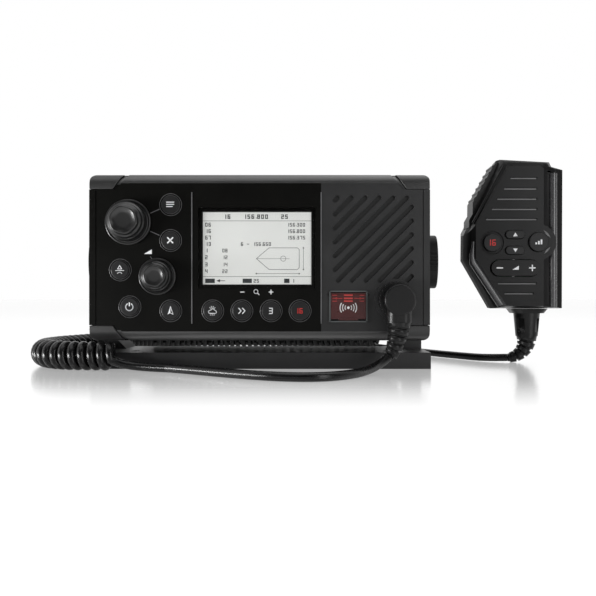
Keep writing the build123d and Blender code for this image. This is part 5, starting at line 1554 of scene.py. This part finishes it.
@dataclass
class FaceMarks:
    """Printed lines and signs on the face.

    Attributes:
        leader_lines: the ends and the width of each fine line beside the knobs.
        wedge: corners of the wedge above the volume knob.
        zoom_z: height of the signs under the display.
        zoom_x: places of the minus, the glass and the plus.
        sign_line: width of those signs' lines.
        minus_half: half the width of the minus.
        plus_half: half the width of the plus.
        glass: radius of the glass, and width of its rim.
        handle: where its handle starts and ends, to the right of its place and below it.
        ring_radii: radii of the two fine rings around each key.
        ring_wire: half the thickness of those rings.
    """

    leader_lines: tuple[tuple[Pair, Pair, float], ...] = (
        ((-62.3, 25.1), (-57.0, 27.5), 0.42),
        ((-62.3, 14.8), (-57.2, 12.6), 0.42),
        ((-62.2, 0.4), (-61.4, -1.0), 0.35),
    )
    wedge: tuple[Pair, Pair, Pair] = ((-65.9, 1.9), (-61.5, 1.9), (-61.5, 4.5))
    zoom_z: float = -19.8
    zoom_x: Triple = (-9.85, -1.8, 6.5)
    sign_line: float = 0.5
    minus_half: float = 1.0
    plus_half: float = 1.1
    glass: Pair = (1.15, 0.38)
    handle: Pair = (0.55, 1.5)
    ring_radii: Pair = (6.25, 5.25)
    ring_wire: float = 0.2

    def build(self) -> None:
        """Makes the lines, the signs and the rings."""
        lines = Legend(FRONT_Y)
        for start, end, width in self.leader_lines:
            lines.stroke([start, end], width)
        lines.build("leader_lines", FINISH.trim, "radio")
        signs = Legend(FRONT_Y)
        signs.shape(self.wedge)
        left, middle, right = self.zoom_x
        signs.minus((left, self.zoom_z), self.minus_half, self.sign_line)
        signs.plus((right, self.zoom_z), self.plus_half, self.sign_line)
        radius, rim = self.glass
        signs.stroke(arc((middle - 0.3, self.zoom_z + 0.3), radius, 0, 360), rim)
        signs.stroke([(middle + reach, self.zoom_z - reach) for reach in self.handle], self.sign_line)
        signs.build("face_signs", FINISH.legend, "radio")
        places = [point(x, FRONT_Y, z) for x, z in map(Model.middle, KEY_ICONS)]
        rings = ring_repeater()
        for number, radius in enumerate(self.ring_radii):
            values = {"Radius": radius * MM, "Wire": self.ring_wire * MM}
            rings.grow(f"key_rings_{number}", (places, []), values, FINISH.key_ring, "radio")


@dataclass
class Display:
    """The lit screen behind its window: plain channel numbers and a ship from above.

    A size of figures is their height and the width of their strokes.

    Attributes:
        screen: left, bottom, right and top of the lit field.
        field_proud: how far that field stands out of the module.
        ink_proud: thickness of the dots.
        rules: height of the rule under the title and of the one over the foot.
        rule_width: how thick they are.
        title: the numbers at the top.
        title_place: where they start, and their foot.
        title_size: size of their figures.
        rows: height, number at the left, number at the right and where that ends.
        label_left: where the numbers at the left start.
        label_size: size of their figures.
        value_size: size of the figures at the right.
        hull: corners of the ship's outline, its bow first.
        hull_line: width of that outline.
        middle_line: where the ship's middle line ends, and its width.
        aerial: X, Z and radius of the ring on it.
        width_mark: X, upper end and lower end of the line that marks the ship's width.
        length_mark: left end, right end and Z of the line that marks its length.
        mark_line: width of those two lines and of the ring.
        tip: radius of the small three-sided tips of those two lines.
        boxes: left and right side of each dark box at the foot, the number beside it
            and where that starts.
        box_ends: their lower and upper side.
        foot_z: the foot of those numbers.
        foot_size: size of their figures.
        arrow: the arrow's tip, its line's start and that line's end, at the foot.
        arrow_z: its height.
        arrow_line: width of its line.
        arrow_head: length and half the height of its head.
    """

    screen: Box = (-32.7, -15.4, 29.5, 26.1)
    field_proud: float = 0.08
    ink_proud: float = 0.05
    rules: Pair = (21.0, -11.0)
    rule_width: float = 0.2
    title: str = "16   156.800   25"
    title_place: Pair = (-20.6, 22.5)
    title_size: Pair = (2.0, 0.52)
    rows: tuple[tuple[float, str, str, float], ...] = (
        (18.0, "06", "156.300", 27.6),
        (14.3, "16", "156.800", 27.6),
        (10.6, "67", "156.375", 27.6),
        (6.9, "13", "6 - 156.650", 8.0),
        (3.2, "1", "08", -18.0),
        (-0.7, "2", "12", -18.0),
        (-4.8, "3", "14", -18.0),
        (-8.7, "4", "22", -18.0),
    )
    label_left: float = -31.2
    label_size: Pair = (1.8, 0.40)
    value_size: Pair = (1.7, 0.34)
    hull: tuple[Pair, ...] = (
        (-2.0, -0.6),
        (5.2, 5.6),
        (21.6, 5.6),
        (22.6, 4.6),
        (22.6, -5.8),
        (21.6, -6.8),
        (5.2, -6.8),
    )
    hull_line: float = 0.24
    middle_line: Pair = (17.0, 0.16)
    aerial: Triple = (13.4, -0.6, 1.5)
    width_mark: Triple = (25.0, 5.6, -6.8)
    length_mark: Triple = (-2.0, 22.6, -9.2)
    mark_line: float = 0.2
    tip: float = 0.62
    boxes: tuple[tuple[float, float, str, float], ...] = (
        (-31.4, -25.9, "", 0.0),
        (-9.9, -4.6, "25", -3.4),
        (13.9, 17.0, "1", 18.6),
    )
    box_ends: Pair = (-14.6, -12.1)
    foot_z: float = -14.2
    foot_size: Pair = (1.7, 0.36)
    arrow: Triple = (-24.9, -24.0, -20.2)
    arrow_z: float = -13.3
    arrow_line: float = 0.34
    arrow_head: Pair = (2.0, 0.9)

    def build(self) -> None:
        """Makes the lit field and everything that is drawn on it."""
        front = Model.front("lcd_module")
        field = Legend(front, self.field_proud)
        field.bar(*self.screen)
        field.build("screen_field", FINISH.screen, "radio")
        ink = Legend(front - self.field_proud, self.ink_proud)
        self.draw_rows(ink)
        self.draw_ship(ink)
        self.draw_foot(ink)
        ink.build("screen_dots", FINISH.screen_ink, "radio")

    def draw_rule(self, ink: Legend, bottom: float) -> None:
        """Draws a fine line right across the screen, with its lower side at a height."""
        ink.bar(self.screen[0], bottom, self.screen[2], bottom + self.rule_width)

    def draw_rows(self, ink: Legend) -> None:
        """Draws the title and the rows of numbers.

        Args:
            ink: the screen's drawing.
        """
        ink.digits(self.title, *self.title_place, *self.title_size)
        self.draw_rule(ink, self.rules[0])
        for height, label, value, end in self.rows:
            ink.digits(label, self.label_left, height, *self.label_size)
            start = end - len(value) * Legend.pitch(*self.value_size)
            ink.digits(value, start, height, *self.value_size)

    def draw_ship(self, ink: Legend) -> None:
        """Draws the ship's outline, with its length and width marked.

        Args:
            ink: the screen's drawing.
        """
        bow = self.hull[0]
        ink.stroke([*self.hull, bow], self.hull_line)
        end, width = self.middle_line
        ink.stroke([bow, (end, bow[1])], width)
        x, z, radius = self.aerial
        ink.stroke(arc((x, z), radius, 0, 360, 16), self.mark_line)
        side, top, bottom = self.width_mark
        ink.stroke([(side, top), (side, bottom)], self.mark_line)
        left, right, level = self.length_mark
        ink.stroke([(left, level), (right, level)], self.mark_line)
        for x, z, turn in ((side, top, 90), (side, bottom, 270), (left, level, 180), (right, level, 0)):
            ink.shape(arc((x, z), self.tip, turn, turn + 360, 3))

    def draw_foot(self, ink: Legend) -> None:
        """Draws the rule, the dark boxes with their numbers and the arrow at the foot of the screen.

        Args:
            ink: the screen's drawing.
        """
        self.draw_rule(ink, self.rules[1])
        for left, right, number, start in self.boxes:
            ink.bar(left, self.box_ends[0], right, self.box_ends[1])
            ink.digits(number, start, self.foot_z, *self.foot_size)
        tip, start, end = self.arrow
        ink.stroke([(start, self.arrow_z), (end, self.arrow_z)], self.arrow_line)
        length, rise = self.arrow_head
        back = tip + length
        ink.shape([(tip, self.arrow_z), (back, self.arrow_z + rise), (back, self.arrow_z - rise)])


# ---------------------------------------------------------------------------
# Keys and knobs
# ---------------------------------------------------------------------------
class Icon(Enum):
    """Signs on the keys, none of which is a word."""

    MENU = "menu"
    CROSS = "cross"
    TARGET = "target"
    POWER = "power"
    COMPASS = "compass"
    WEATHER = "weather"
    CHEVRONS = "chevrons"
    THREE = "three"
    SIXTEEN = "sixteen"


KEY_ICONS: dict[str, Icon] = {
    "key_menu": Icon.MENU,
    "key_cancel": Icon.CROSS,
    "key_ais": Icon.TARGET,
    "key_power": Icon.POWER,
    "key_navigation": Icon.COMPASS,
    "key_weather": Icon.WEATHER,
    "key_scan": Icon.CHEVRONS,
    "key_triple_watch": Icon.THREE,
    "key_channel_16": Icon.SIXTEEN,
}


@dataclass
class Keys:
    """The nine round keys on the face and the signs on them.

    Attributes:
        edge: width of a key's rounded edge.
        line: width of the signs' lines.
    """

    edge: float = 0.45
    line: float = 0.46

    def build(self) -> None:
        """Makes each key with its sign."""
        for node, icon in KEY_ICONS.items():
            refine(node, FINISH.key, self.edge, 3)
            sign = Legend.on(node)
            getattr(self, f"draw_{icon.value}")(sign)
            finish = FINISH.red_legend if icon is Icon.SIXTEEN else FINISH.legend
            sign.build(f"{node}_sign", finish, Model.body(node))

    def draw_menu(self, sign: Legend) -> None:
        """Three bars, the lowest of them short.

        Args:
            sign: the drawing that gets them.
        """
        for number, reach in enumerate((2.1, 2.1, 1.2)):
            height = 1.25 - 1.25 * number
            sign.stroke([(-2.1, height), (reach, height)], 0.5)

    def draw_cross(self, sign: Legend) -> None:
        """A cross."""
        sign.stroke([(-1.45, -1.45), (1.45, 1.45)], 0.75)
        sign.stroke([(-1.45, 1.45), (1.45, -1.45)], 0.75)

    def draw_target(self, sign: Legend) -> None:
        """A ship's triangle over a line.

        Args:
            sign: the drawing that gets it.
        """
        sign.stroke([(-1.2, 0.5), (0.0, 2.5), (1.2, 0.5), (-1.2, 0.5)], 0.36)
        sign.stroke([(-2.4, -0.4), (2.4, -0.4)], 0.28)
        sign.stroke(arc((0.0, -2.9), 1.5, 35, 145, 8), 0.36)

    def draw_power(self, sign: Legend) -> None:
        """An open ring with a bar in its gap."""
        sign.stroke(arc((0.0, -0.1), 2.05, 122, 418, 22), 0.62)
        sign.stroke([(0.0, 0.5), (0.0, 2.3)], 0.62)

    def draw_compass(self, sign: Legend) -> None:
        """A kite that points up, in two halves."""
        sign.shape([(0.0, 2.5), (0.0, -1.1), (-1.6, -2.1)])
        sign.stroke([(0.0, 2.5), (1.6, -2.1), (0.0, -1.1)], 0.3)

    def draw_weather(self, sign: Legend) -> None:
        """A cloud with a sun behind it and rain under it.

        Args:
            sign: the drawing that gets it.
        """
        sign.stroke(arc((-1.4, -0.6), 0.85, 95, 270, 8), self.line)
        sign.stroke(arc((0.1, 0.1), 1.1, 20, 165, 8), self.line)
        sign.stroke(arc((1.5, -0.65), 0.8, -90, 85, 8), self.line)
        sign.stroke([(-1.4, -1.45), (1.5, -1.45)], self.line)
        for turn in (35, 70, 105, 140):
            ray = math.radians(turn)
            ends = [(-0.1 + reach * math.cos(ray), 0.7 + reach * math.sin(ray)) for reach in (1.2, 2.0)]
            sign.stroke(ends, 0.3)
        for x in (-0.9, 0.1, 1.1):
            sign.stroke([(x, -2.1), (x - 0.2, -2.5)], 0.3)

    def draw_chevrons(self, sign: Legend) -> None:
        """Two chevrons that point right."""
        for x in (-1.7, 0.5):
            sign.stroke([(x, 1.5), (x + 1.4, 0.0), (x, -1.5)], 0.55)

    def draw_three(self, sign: Legend) -> None:
        """The number 3."""
        sign.digits("3", -0.85, -1.5, 3.0, 0.5)

    def draw_sixteen(self, sign: Legend) -> None:
        """The number 16."""
        sign.digits("16", -2.6, -1.3, 2.6, 0.46)


@dataclass
class Knob:
    """A turned knob with a ringed skirt, a stepped grip and a six-sided cap.

    Attributes:
        node: the node that it stands for.
        centre: its X and Z on the face.
        flange: the skirt's radius.
        grip: the grip's radius.
        cap: the cap's radius.
        reach: from the face to its front.
        lift: from the face to its back.
        corners: how far the cap's six corners stand out, as a share of its radius.
        corner_reach: how far inside and outside the cap's radius they have an effect.
    """

    node: str
    centre: Pair
    flange: float
    grip: float
    cap: float
    reach: float
    lift: float = 0.9
    corners: float = 0.022
    corner_reach: Pair = (1.2, 0.9)

    def profile(self) -> list[Pair]:
        """Draws the turned shape from the middle of its back to the middle of its front.

        Returns:
            The radius at each of its corners, and how far that is from its back.
        """
        rise = self.reach - self.lift
        band = (self.grip - self.cap) / 3
        skirt = [
            (0.0, 0.0), (self.flange - 0.5, 0.0), (self.flange, 0.4), (self.flange, 1.1),
            (self.flange - 0.3, 1.5), (self.flange - 0.9, 1.55), (self.flange - 1.25, 1.15),
            (self.grip + 0.35, 1.15), (self.grip + 0.05, 1.5),
        ]
        grip = [
            (self.grip, 0.30 * rise), (self.grip - 0.25, 0.50 * rise), (self.grip - 0.6, 0.56 * rise),
            (self.grip - band, 0.58 * rise), (self.grip - band - 0.15, 0.62 * rise),
            (self.grip - band - 0.35, 0.74 * rise), (self.grip - band - 0.7, 0.79 * rise),
            (self.cap + 0.75, 0.81 * rise), (self.cap + 0.55, 0.84 * rise),
        ]
        cap = [
            (self.cap + 0.35, 0.93 * rise), (self.cap, 0.985 * rise), (self.cap - 0.45, rise),
            (self.cap - 1.0, 0.99 * rise), (self.cap - 1.6, 0.955 * rise), (0.5 * self.cap, 0.95 * rise),
            (0.0, 0.95 * rise),
        ]
        return skirt + grip + cap

    def stretch(self, angle: float, radius: float) -> float:
        """Makes the cap's rim stand out at six corners.

        Args:
            angle: where on the circle, in radians.
            radius: the radius there, mm.

        Returns:
            What that radius is multiplied by.
        """
        inside, outside = self.corner_reach
        near = 1.0 if self.cap - inside < radius < self.cap + outside else 0.0
        return 1.0 + near * self.corners * math.cos(6.0 * angle)

    def build(self) -> None:
        """Makes the knob."""
        x, z = self.centre
        axis_start = point(x, FRONT_Y - self.lift, z + PIVOT_Z)
        shape = lathe(self.profile(), axis_start, (0.0, -1.0, 0.0), 96, self.stretch)
        body = Model.body(self.node)
        made = add_piece(f"{self.node}_turned", shape, FINISH.knob, body, crease=62.0)
        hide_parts(self.node)


@dataclass
class DistressKey:
    """The red flap over the distress key, its print and the frame around it.

    Attributes:
        frame: left, bottom, right and top of the frame's line.
        frame_line: width of that line.
        frame_proud: how far it stands in front of the face.
        flap_proud: how far the flap's plate does.
        middle_x: X of the flap's middle.
        bar_half: half the width and half the height of the bar in each row of print.
        rows: height of each row, and how far from the middle its outer lines start.
        line_end: how far from the middle they end.
        line_half: half their width.
        arrow: how far from the middle each arrow's tip is, its length and half its height.
        wave_z: height of the middle of the waves.
        wave_dot: radius of the dot there.
        wave_radii: radii of the waves.
        wave_spread: how far each goes up and down, in degrees.
        wave_line: their width.
    """

    frame: Box = (40.1, -36.6, 61.0, -19.4)
    frame_line: float = 0.7
    frame_proud: float = 1.0
    flap_proud: float = 1.4
    middle_x: float = 50.5
    bar_half: Pair = (2.5, 0.42)
    rows: tuple[Pair, Pair, Pair] = ((-21.6, 6.4), (-23.4, 3.4), (-25.0, 6.4))
    line_end: float = 9.0
    line_half: float = 0.16
    arrow: Triple = (5.6, 1.4, 0.62)
    wave_z: float = -28.7
    wave_dot: float = 0.75
    wave_radii: Triple = (1.9, 3.3, 4.7)
    wave_spread: float = 32.0
    wave_line: float = 0.55

    def build(self) -> None:
        """Makes the frame, the flap and the print on it."""
        left, bottom, right, top = self.frame
        edge = Legend(FRONT_Y - self.frame_proud, SIGN_PROUD)
        corners = [(left, bottom), (right, bottom), (right, top), (left, top), (left, bottom)]
        edge.stroke(corners, self.frame_line)
        edge.build("distress_frame_line", FINISH.frame, "radio")
        refine("distress_cover", FINISH.flap, 0.3, 3)
        self.make_bands()
        self.make_waves()

    def make_bands(self) -> None:
        """Makes the bars, lines and arrows in the upper half of the flap."""
        band = Legend(FRONT_Y - self.flap_proud, SIGN_PROUD)
        across, up = self.bar_half
        for height, _ in self.rows:
            band.bar(self.middle_x - across, height - up, self.middle_x + across, height + up)
        tip, length, rise = self.arrow
        level = self.rows[1][0]
        for side in (-1, 1):
            for height, start in self.rows:
                near, far = sorted(self.middle_x + side * reach for reach in (start, self.line_end))
                band.bar(near, height - self.line_half, far, height + self.line_half)
            foot = self.middle_x + side * (tip + length)
            band.shape([(self.middle_x + side * tip, level), (foot, level + rise), (foot, level - rise)])
        band.build("flap_print", FINISH.flap_band, Model.body("distress_cover"))

    def make_waves(self) -> None:
        """Makes the dot with waves to both sides of it in the lower half of the flap."""
        origin = (self.middle_x, PIVOT_Z + self.wave_z)
        waves = Legend(FRONT_Y - self.flap_proud, SIGN_PROUD, origin)
        waves.shape(arc((0.0, 0.0), self.wave_dot, 0, 360, 16))
        for radius in self.wave_radii:
            for facing in (0.0, 180.0):
                start, end = facing - self.wave_spread, facing + self.wave_spread
                waves.stroke(arc((0.0, 0.0), radius, start, end, 10), self.wave_line)
        waves.build("flap_waves", FINISH.flap_legend, Model.body("distress_cover"))


@dataclass
class Plug:
    """The elbow plug, its coupling ring and its ribbed boot.

    Attributes:
        boot: points down the middle of the boot, in metres.
        slot_radius: radius of the upper dark ring, painted shade in the slot between two ribs, mm.
        slot_wire: half the thickness of the slots, mm.
        end_scale: size of the lowest slot beside the uppermost.
        slots: how many slots there are.
    """

    boot: tuple[Triple, ...] = (
        (0.0774, -0.0640, 0.0248),
        (0.0768, -0.0641, 0.0205),
        (0.0755, -0.0642, 0.0165),
        (0.0738, -0.0641, 0.0126),
    )
    slot_radius: float = 5.35
    slot_wire: float = 0.55
    end_scale: float = 0.62
    slots: int = 4

    def build(self) -> None:
        """Makes the plug's pieces."""
        refine("plug_body", FINISH.plug, 0.7, 3)
        refine("plug_coupling_ring", FINISH.plug, 0.2)
        refine("plug_boot", FINISH.plug, 0.0)
        values = {
            "Count": self.slots,
            "Radius": self.slot_radius * MM,
            "Wire": self.slot_wire * MM,
            "End Scale": self.end_scale,
        }
        line = line_base([Vector(place) for place in self.boot])
        # Dark rings that paint the shade in the slots between the boot's ribs.
        collar_repeater().grow("boot_slot_painted_shades", line, values, FINISH.boot_groove_painted_shade, Model.body("plug_boot"))


class ShellPart(IntEnum):
    """Parts of the microphone's shells, in the order of their finishes."""

    PLAIN = 0
    # Faces that get painted shade.
    SIDE_PAINTED_SHADE = 1
    LIT_SHOULDER = 2


@dataclass
class Handset:
    """The fist microphone.

    Attributes:
        front: Y of its flat front.
        strip_depth: how far the strips and rims on it reach in.
        pale_proud: how far the pale strips of painted highlight stand out of it.
        dark_proud: how far the dark strips of painted shade do.
        rim_proud: how far the pale rim of painted highlight does.
        grooves: left, right and height of each groove across the front.
        groove_sides: lower side, middle and upper side of a groove, from its height.
        groove_ends: what the dark strip of painted shade leaves free at the left, and its width at the
            right.
        ridge: lower and upper end of the ridge beside the talk lever.
        ridge_depth: how far the ridge's middle lies behind the front.
        ridge_radius: its radius.
        gap: lower and upper end of the dark strip of painted shade for the gap between that ridge and the
            front.
        gap_width: how wide it is.
        gap_depth: how far it reaches in.
        rib_start: middle of the lowest rib of the talk lever.
        rib_step: from one rib to the next.
        ribs: how many ribs the lever has.
        rib_size: radius and length of a rib.
        side_ridge: X, lower and upper end and radius of the upright ridge.
        side_depth: how far that ridge's middle lies behind the front.
        rim: radius and width of the pale arcs of painted highlight beside the power key.
        rim_arcs: start and end angle of each of them.
        dish: radius and width of the dark arc of painted shade beside the number key.
        dish_arc: its start and end angle.
        dish_depth: how far it lies behind the front.
        shoulder: X, depth behind the front, Z and radius along the rounded lower left edge.
        moulded: its smaller nodes, with their finish and the width of their edges.
    """

    front: float = -18.0
    strip_depth: float = 0.4
    pale_proud: float = 0.12
    dark_proud: float = 0.06
    rim_proud: float = 0.10
    grooves: tuple[Triple, ...] = (
        (153.1, 169.8, 115.0),
        (149.1, 169.8, 108.5),
        (145.0, 169.8, 102.2),
        (141.7, 169.8, 95.9),
        (138.0, 169.8, 89.6),
        (145.4, 169.4, 50.0),
        (149.4, 167.5, 43.8),
    )
    groove_sides: Triple = (-0.55, 0.05, 0.5)
    groove_ends: Pair = (1.0, 0.9)
    ridge: tuple[Pair, Pair] = ((130.6, 87.4), (149.6, 122.4))
    ridge_depth: float = 2.6
    ridge_radius: float = 0.95
    gap: tuple[Pair, Pair] = ((132.0, 87.0), (151.2, 122.2))
    gap_width: float = 0.8
    gap_depth: float = 1.0
    rib_start: Triple = (133.73, -3.1, 103.21)
    rib_step: Triple = (2.279, 0.0, 4.026)
    ribs: int = 6
    rib_size: Pair = (1.25, 14.2)
    side_ridge: tuple[float, float, float, float] = (180.6, 35.2, 118.5, 2.5)
    side_depth: float = 3.7
    rim: Pair = (8.1, 1.1)
    rim_arcs: tuple[Pair, Pair] = ((18.0, 66.0), (-62.0, -22.0))
    dish: Pair = (7.25, 1.7)
    dish_arc: Pair = (80.0, 310.0)
    dish_depth: float = 0.7
    shoulder: tuple[tuple[float, float, float, float], ...] = (
        (130.6, 1.6, 76.0, 0.6),
        (129.9, 2.2, 66.5, 1.7),
        (130.6, 2.8, 63.0, 2.3),
        (147.9, 2.8, 36.8, 2.3),
    )
    moulded: tuple[tuple[str, Finish, float], ...] = (
        ("ptt_lever", FINISH.talk_lever, 0.9),
        ("handset_boot", FINISH.plug, 0.0),
        ("vol_rocker", FINISH.handset, 0.6),
        ("key_mic_16", FINISH.key, 0.45),
        ("key_mic_power", FINISH.key, 0.45),
        ("key_channel_up", FINISH.key, 0.45),
        ("key_channel_down", FINISH.key, 0.45),
    )

    @staticmethod
    def part_of_shell(middle: Vector, normal: Vector) -> ShellPart:
        """Tells which finish a face of the front shell gets, plain, painted highlight or painted shade.

        Args:
            middle: the middle of the face, in metres.
            normal: the way that it looks.

        Returns:
            The part that it belongs to.
        """
        lower_left = normal.x < -0.45 and normal.z < -0.25
        if lower_left and normal.y < -0.5:
            return ShellPart.LIT_SHOULDER
        left = normal.x < -0.9
        right = normal.x > 0.25 and middle.x > 0.181
        top = normal.z > 0.4 and middle.z > 0.120
        return ShellPart.SIDE_PAINTED_SHADE if lower_left or left or right or top else ShellPart.PLAIN

    @staticmethod
    def part_of_back(middle: Vector, normal: Vector) -> ShellPart:
        """Tells which finish a face of the back shell gets, plain or painted shade.

        Args:
            middle: the middle of the face, in metres.
            normal: the way that it looks.

        Returns:
            The part that it belongs to.
        """
        lower_left = normal.x < -0.3 and middle.z < 0.085
        right = normal.x > 0.5
        return ShellPart.SIDE_PAINTED_SHADE if lower_left or right else ShellPart.PLAIN

    def build(self) -> None:
        """Makes the microphone's shells, keys and lever."""
        # The front shell gets painted shade on its sides and a painted highlight on its lower left rounding.
        others = (FINISH.handset_side_painted_shade, FINISH.handset_painted_highlight)
        refine("handset_front_shell", FINISH.handset, 0.8, 3, None, others, self.part_of_shell)
        refine("handset_back_shell", FINISH.handset, 0.8, 3, None, others[:1], self.part_of_back)
        for node, finish, edge in self.moulded:
            refine(node, finish, edge, 3)
        dress(FINISH.handset, "hang_stud")
        self.make_grooves()
        self.make_lever_side()
        self.make_side_ridge()
        self.make_key_rims()
        self.make_signs()

    def make_grooves(self) -> None:
        """Makes the pale lower edges and dark upper edges of the grooves, as painted highlight and painted
        shade.
        """
        pale = Legend(self.front, self.pale_proud, (0.0, 0.0), self.strip_depth)
        dark = Legend(self.front, self.dark_proud, (0.0, 0.0), self.strip_depth)
        free, width = self.groove_ends
        for left, right, height in self.grooves:
            low, middle, high = (height + side for side in self.groove_sides)
            pale.bar(left, low, right - width, middle)
            dark.bar(left + free, middle, right, high)
            dark.bar(right - width, low, right, high)
        pale.build("groove_painted_highlights", FINISH.groove, "handset")
        dark.build("groove_painted_shades", FINISH.groove_painted_shade, "handset")

    def make_side_ridge(self) -> None:
        """Makes the rounded ridges at the right of the front and along its lower left edge, with a painted
        highlight.
        """
        x, low, high, radius = self.side_ridge
        ends = [point(x, self.front + self.side_depth, z) for z in (low, high)]
        add_piece("side_ridge", sweep(ends, radius, 24), FINISH.handset_painted_highlight, "handset")
        line = [point(x, self.front + depth, z) for x, depth, z, _ in self.shoulder]
        radii = [radius for *_, radius in self.shoulder]
        add_piece("shoulder_ridge", sweep(line, radii, 24), FINISH.handset_painted_highlight, "handset")

    def make_key_rims(self) -> None:
        """Makes the pale rim of painted highlight right of the power key and the dark rim of painted shade
        left of the other.
        """
        pale = Legend(self.front, self.rim_proud, Model.middle("key_mic_power"), self.strip_depth)
        for start, end in self.rim_arcs:
            pale.shape(crescent(*self.rim, start, end))
        pale.build("power_key_painted_highlight", FINISH.groove, "handset")
        floor = self.front + self.dish_depth
        dark = Legend(floor, SIGN_PROUD, Model.middle("key_mic_16"), self.strip_depth)
        dark.shape(crescent(*self.dish, *self.dish_arc))
        dark.build("number_key_painted_shade", FINISH.groove_painted_shade, "handset")

    def make_lever_side(self) -> None:
        """Makes the ridge, a dark strip of painted shade for the gap beside the talk lever, and the ribs on
        the lever.
        """
        ends = [point(x, self.front + self.ridge_depth, z) for x, z in self.ridge]
        add_piece("lever_ridge", sweep(ends, self.ridge_radius), FINISH.handset, "handset")
        gap = Legend(self.front, SIGN_PROUD, (0.0, 0.0), self.gap_depth)
        gap.stroke(self.gap, self.gap_width)
        gap.build("lever_gap_painted_shade", FINISH.groove_painted_shade, "handset")
        radius, length = self.rib_size
        values = {
            "Count": self.ribs,
            "Start": point(*self.rib_start),
            "Step": point(*self.rib_step),
            "Turn": Vector((QUARTER, 0.0, 0.0)),
            "Radius": radius * MM,
            "Length": length * MM,
        }
        base = ([Vector()], [])
        rod_repeater().grow("lever_ribs", base, values, FINISH.talk_lever, Model.body("ptt_lever"))

    def make_signs(self) -> None:
        """Makes the signs on the keys and on the rocker."""
        sixteen = Legend.on("key_mic_16")
        sixteen.digits("16", -3.0, -1.6, 3.2, 0.55)
        sixteen.build("key_mic_16_sign", FINISH.red_legend, Model.body("key_mic_16"))
        bars = Legend.on("key_mic_power")
        for number, height in enumerate((1.2, 2.1, 3.0)):
            left = -2.2 + 1.6 * number
            bars.bar(left, -1.5, left + 1.0, -1.5 + height)
        bars.build("key_mic_power_sign", FINISH.legend, Model.body("key_mic_power"))
        for node, up in (("key_channel_up", 1), ("key_channel_down", -1)):
            arrow = Legend.on(node)
            arrow.shape([(-1.35, -1.1 * up), (1.35, -1.1 * up), (0.0, 1.3 * up)])
            arrow.build(f"{node}_sign", FINISH.legend, Model.body(node))
        rocker = Legend.on("vol_rocker")
        rocker.minus((-9.7, 0.0), 1.7, 0.75)
        rocker.plus((10.3, 0.0), 1.7, 0.75)
        rocker.shape([(-2.0, -1.1), (2.0, -1.1), (2.0, 1.4)])
        rocker.build("vol_rocker_signs", FINISH.legend, Model.body("vol_rocker"))


def main() -> None:
    """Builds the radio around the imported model, piece by piece."""
    logging.basicConfig(level=logging.INFO, format="%(name)s: %(message)s")
    Model.load()
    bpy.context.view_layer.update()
    makers = (
        Studio(),
        Plug(),
        Cords(),
        PlainPieces(),
        Housing(),
        FaceMarks(),
        Display(),
        Keys(),
        Knob("channel_knob", (-74.7, 19.9), 13.0, 11.0, 7.6, 13.5),
        Knob("volume_knob", (-58.05, -11.0), 10.55, 8.9, 5.9, 11.5),
        DistressKey(),
        Handset(),
    )
    for maker in makers:
        maker.build()
        LOG.info("built %s", type(maker).__name__)


if __name__ == "__main__":
    main()
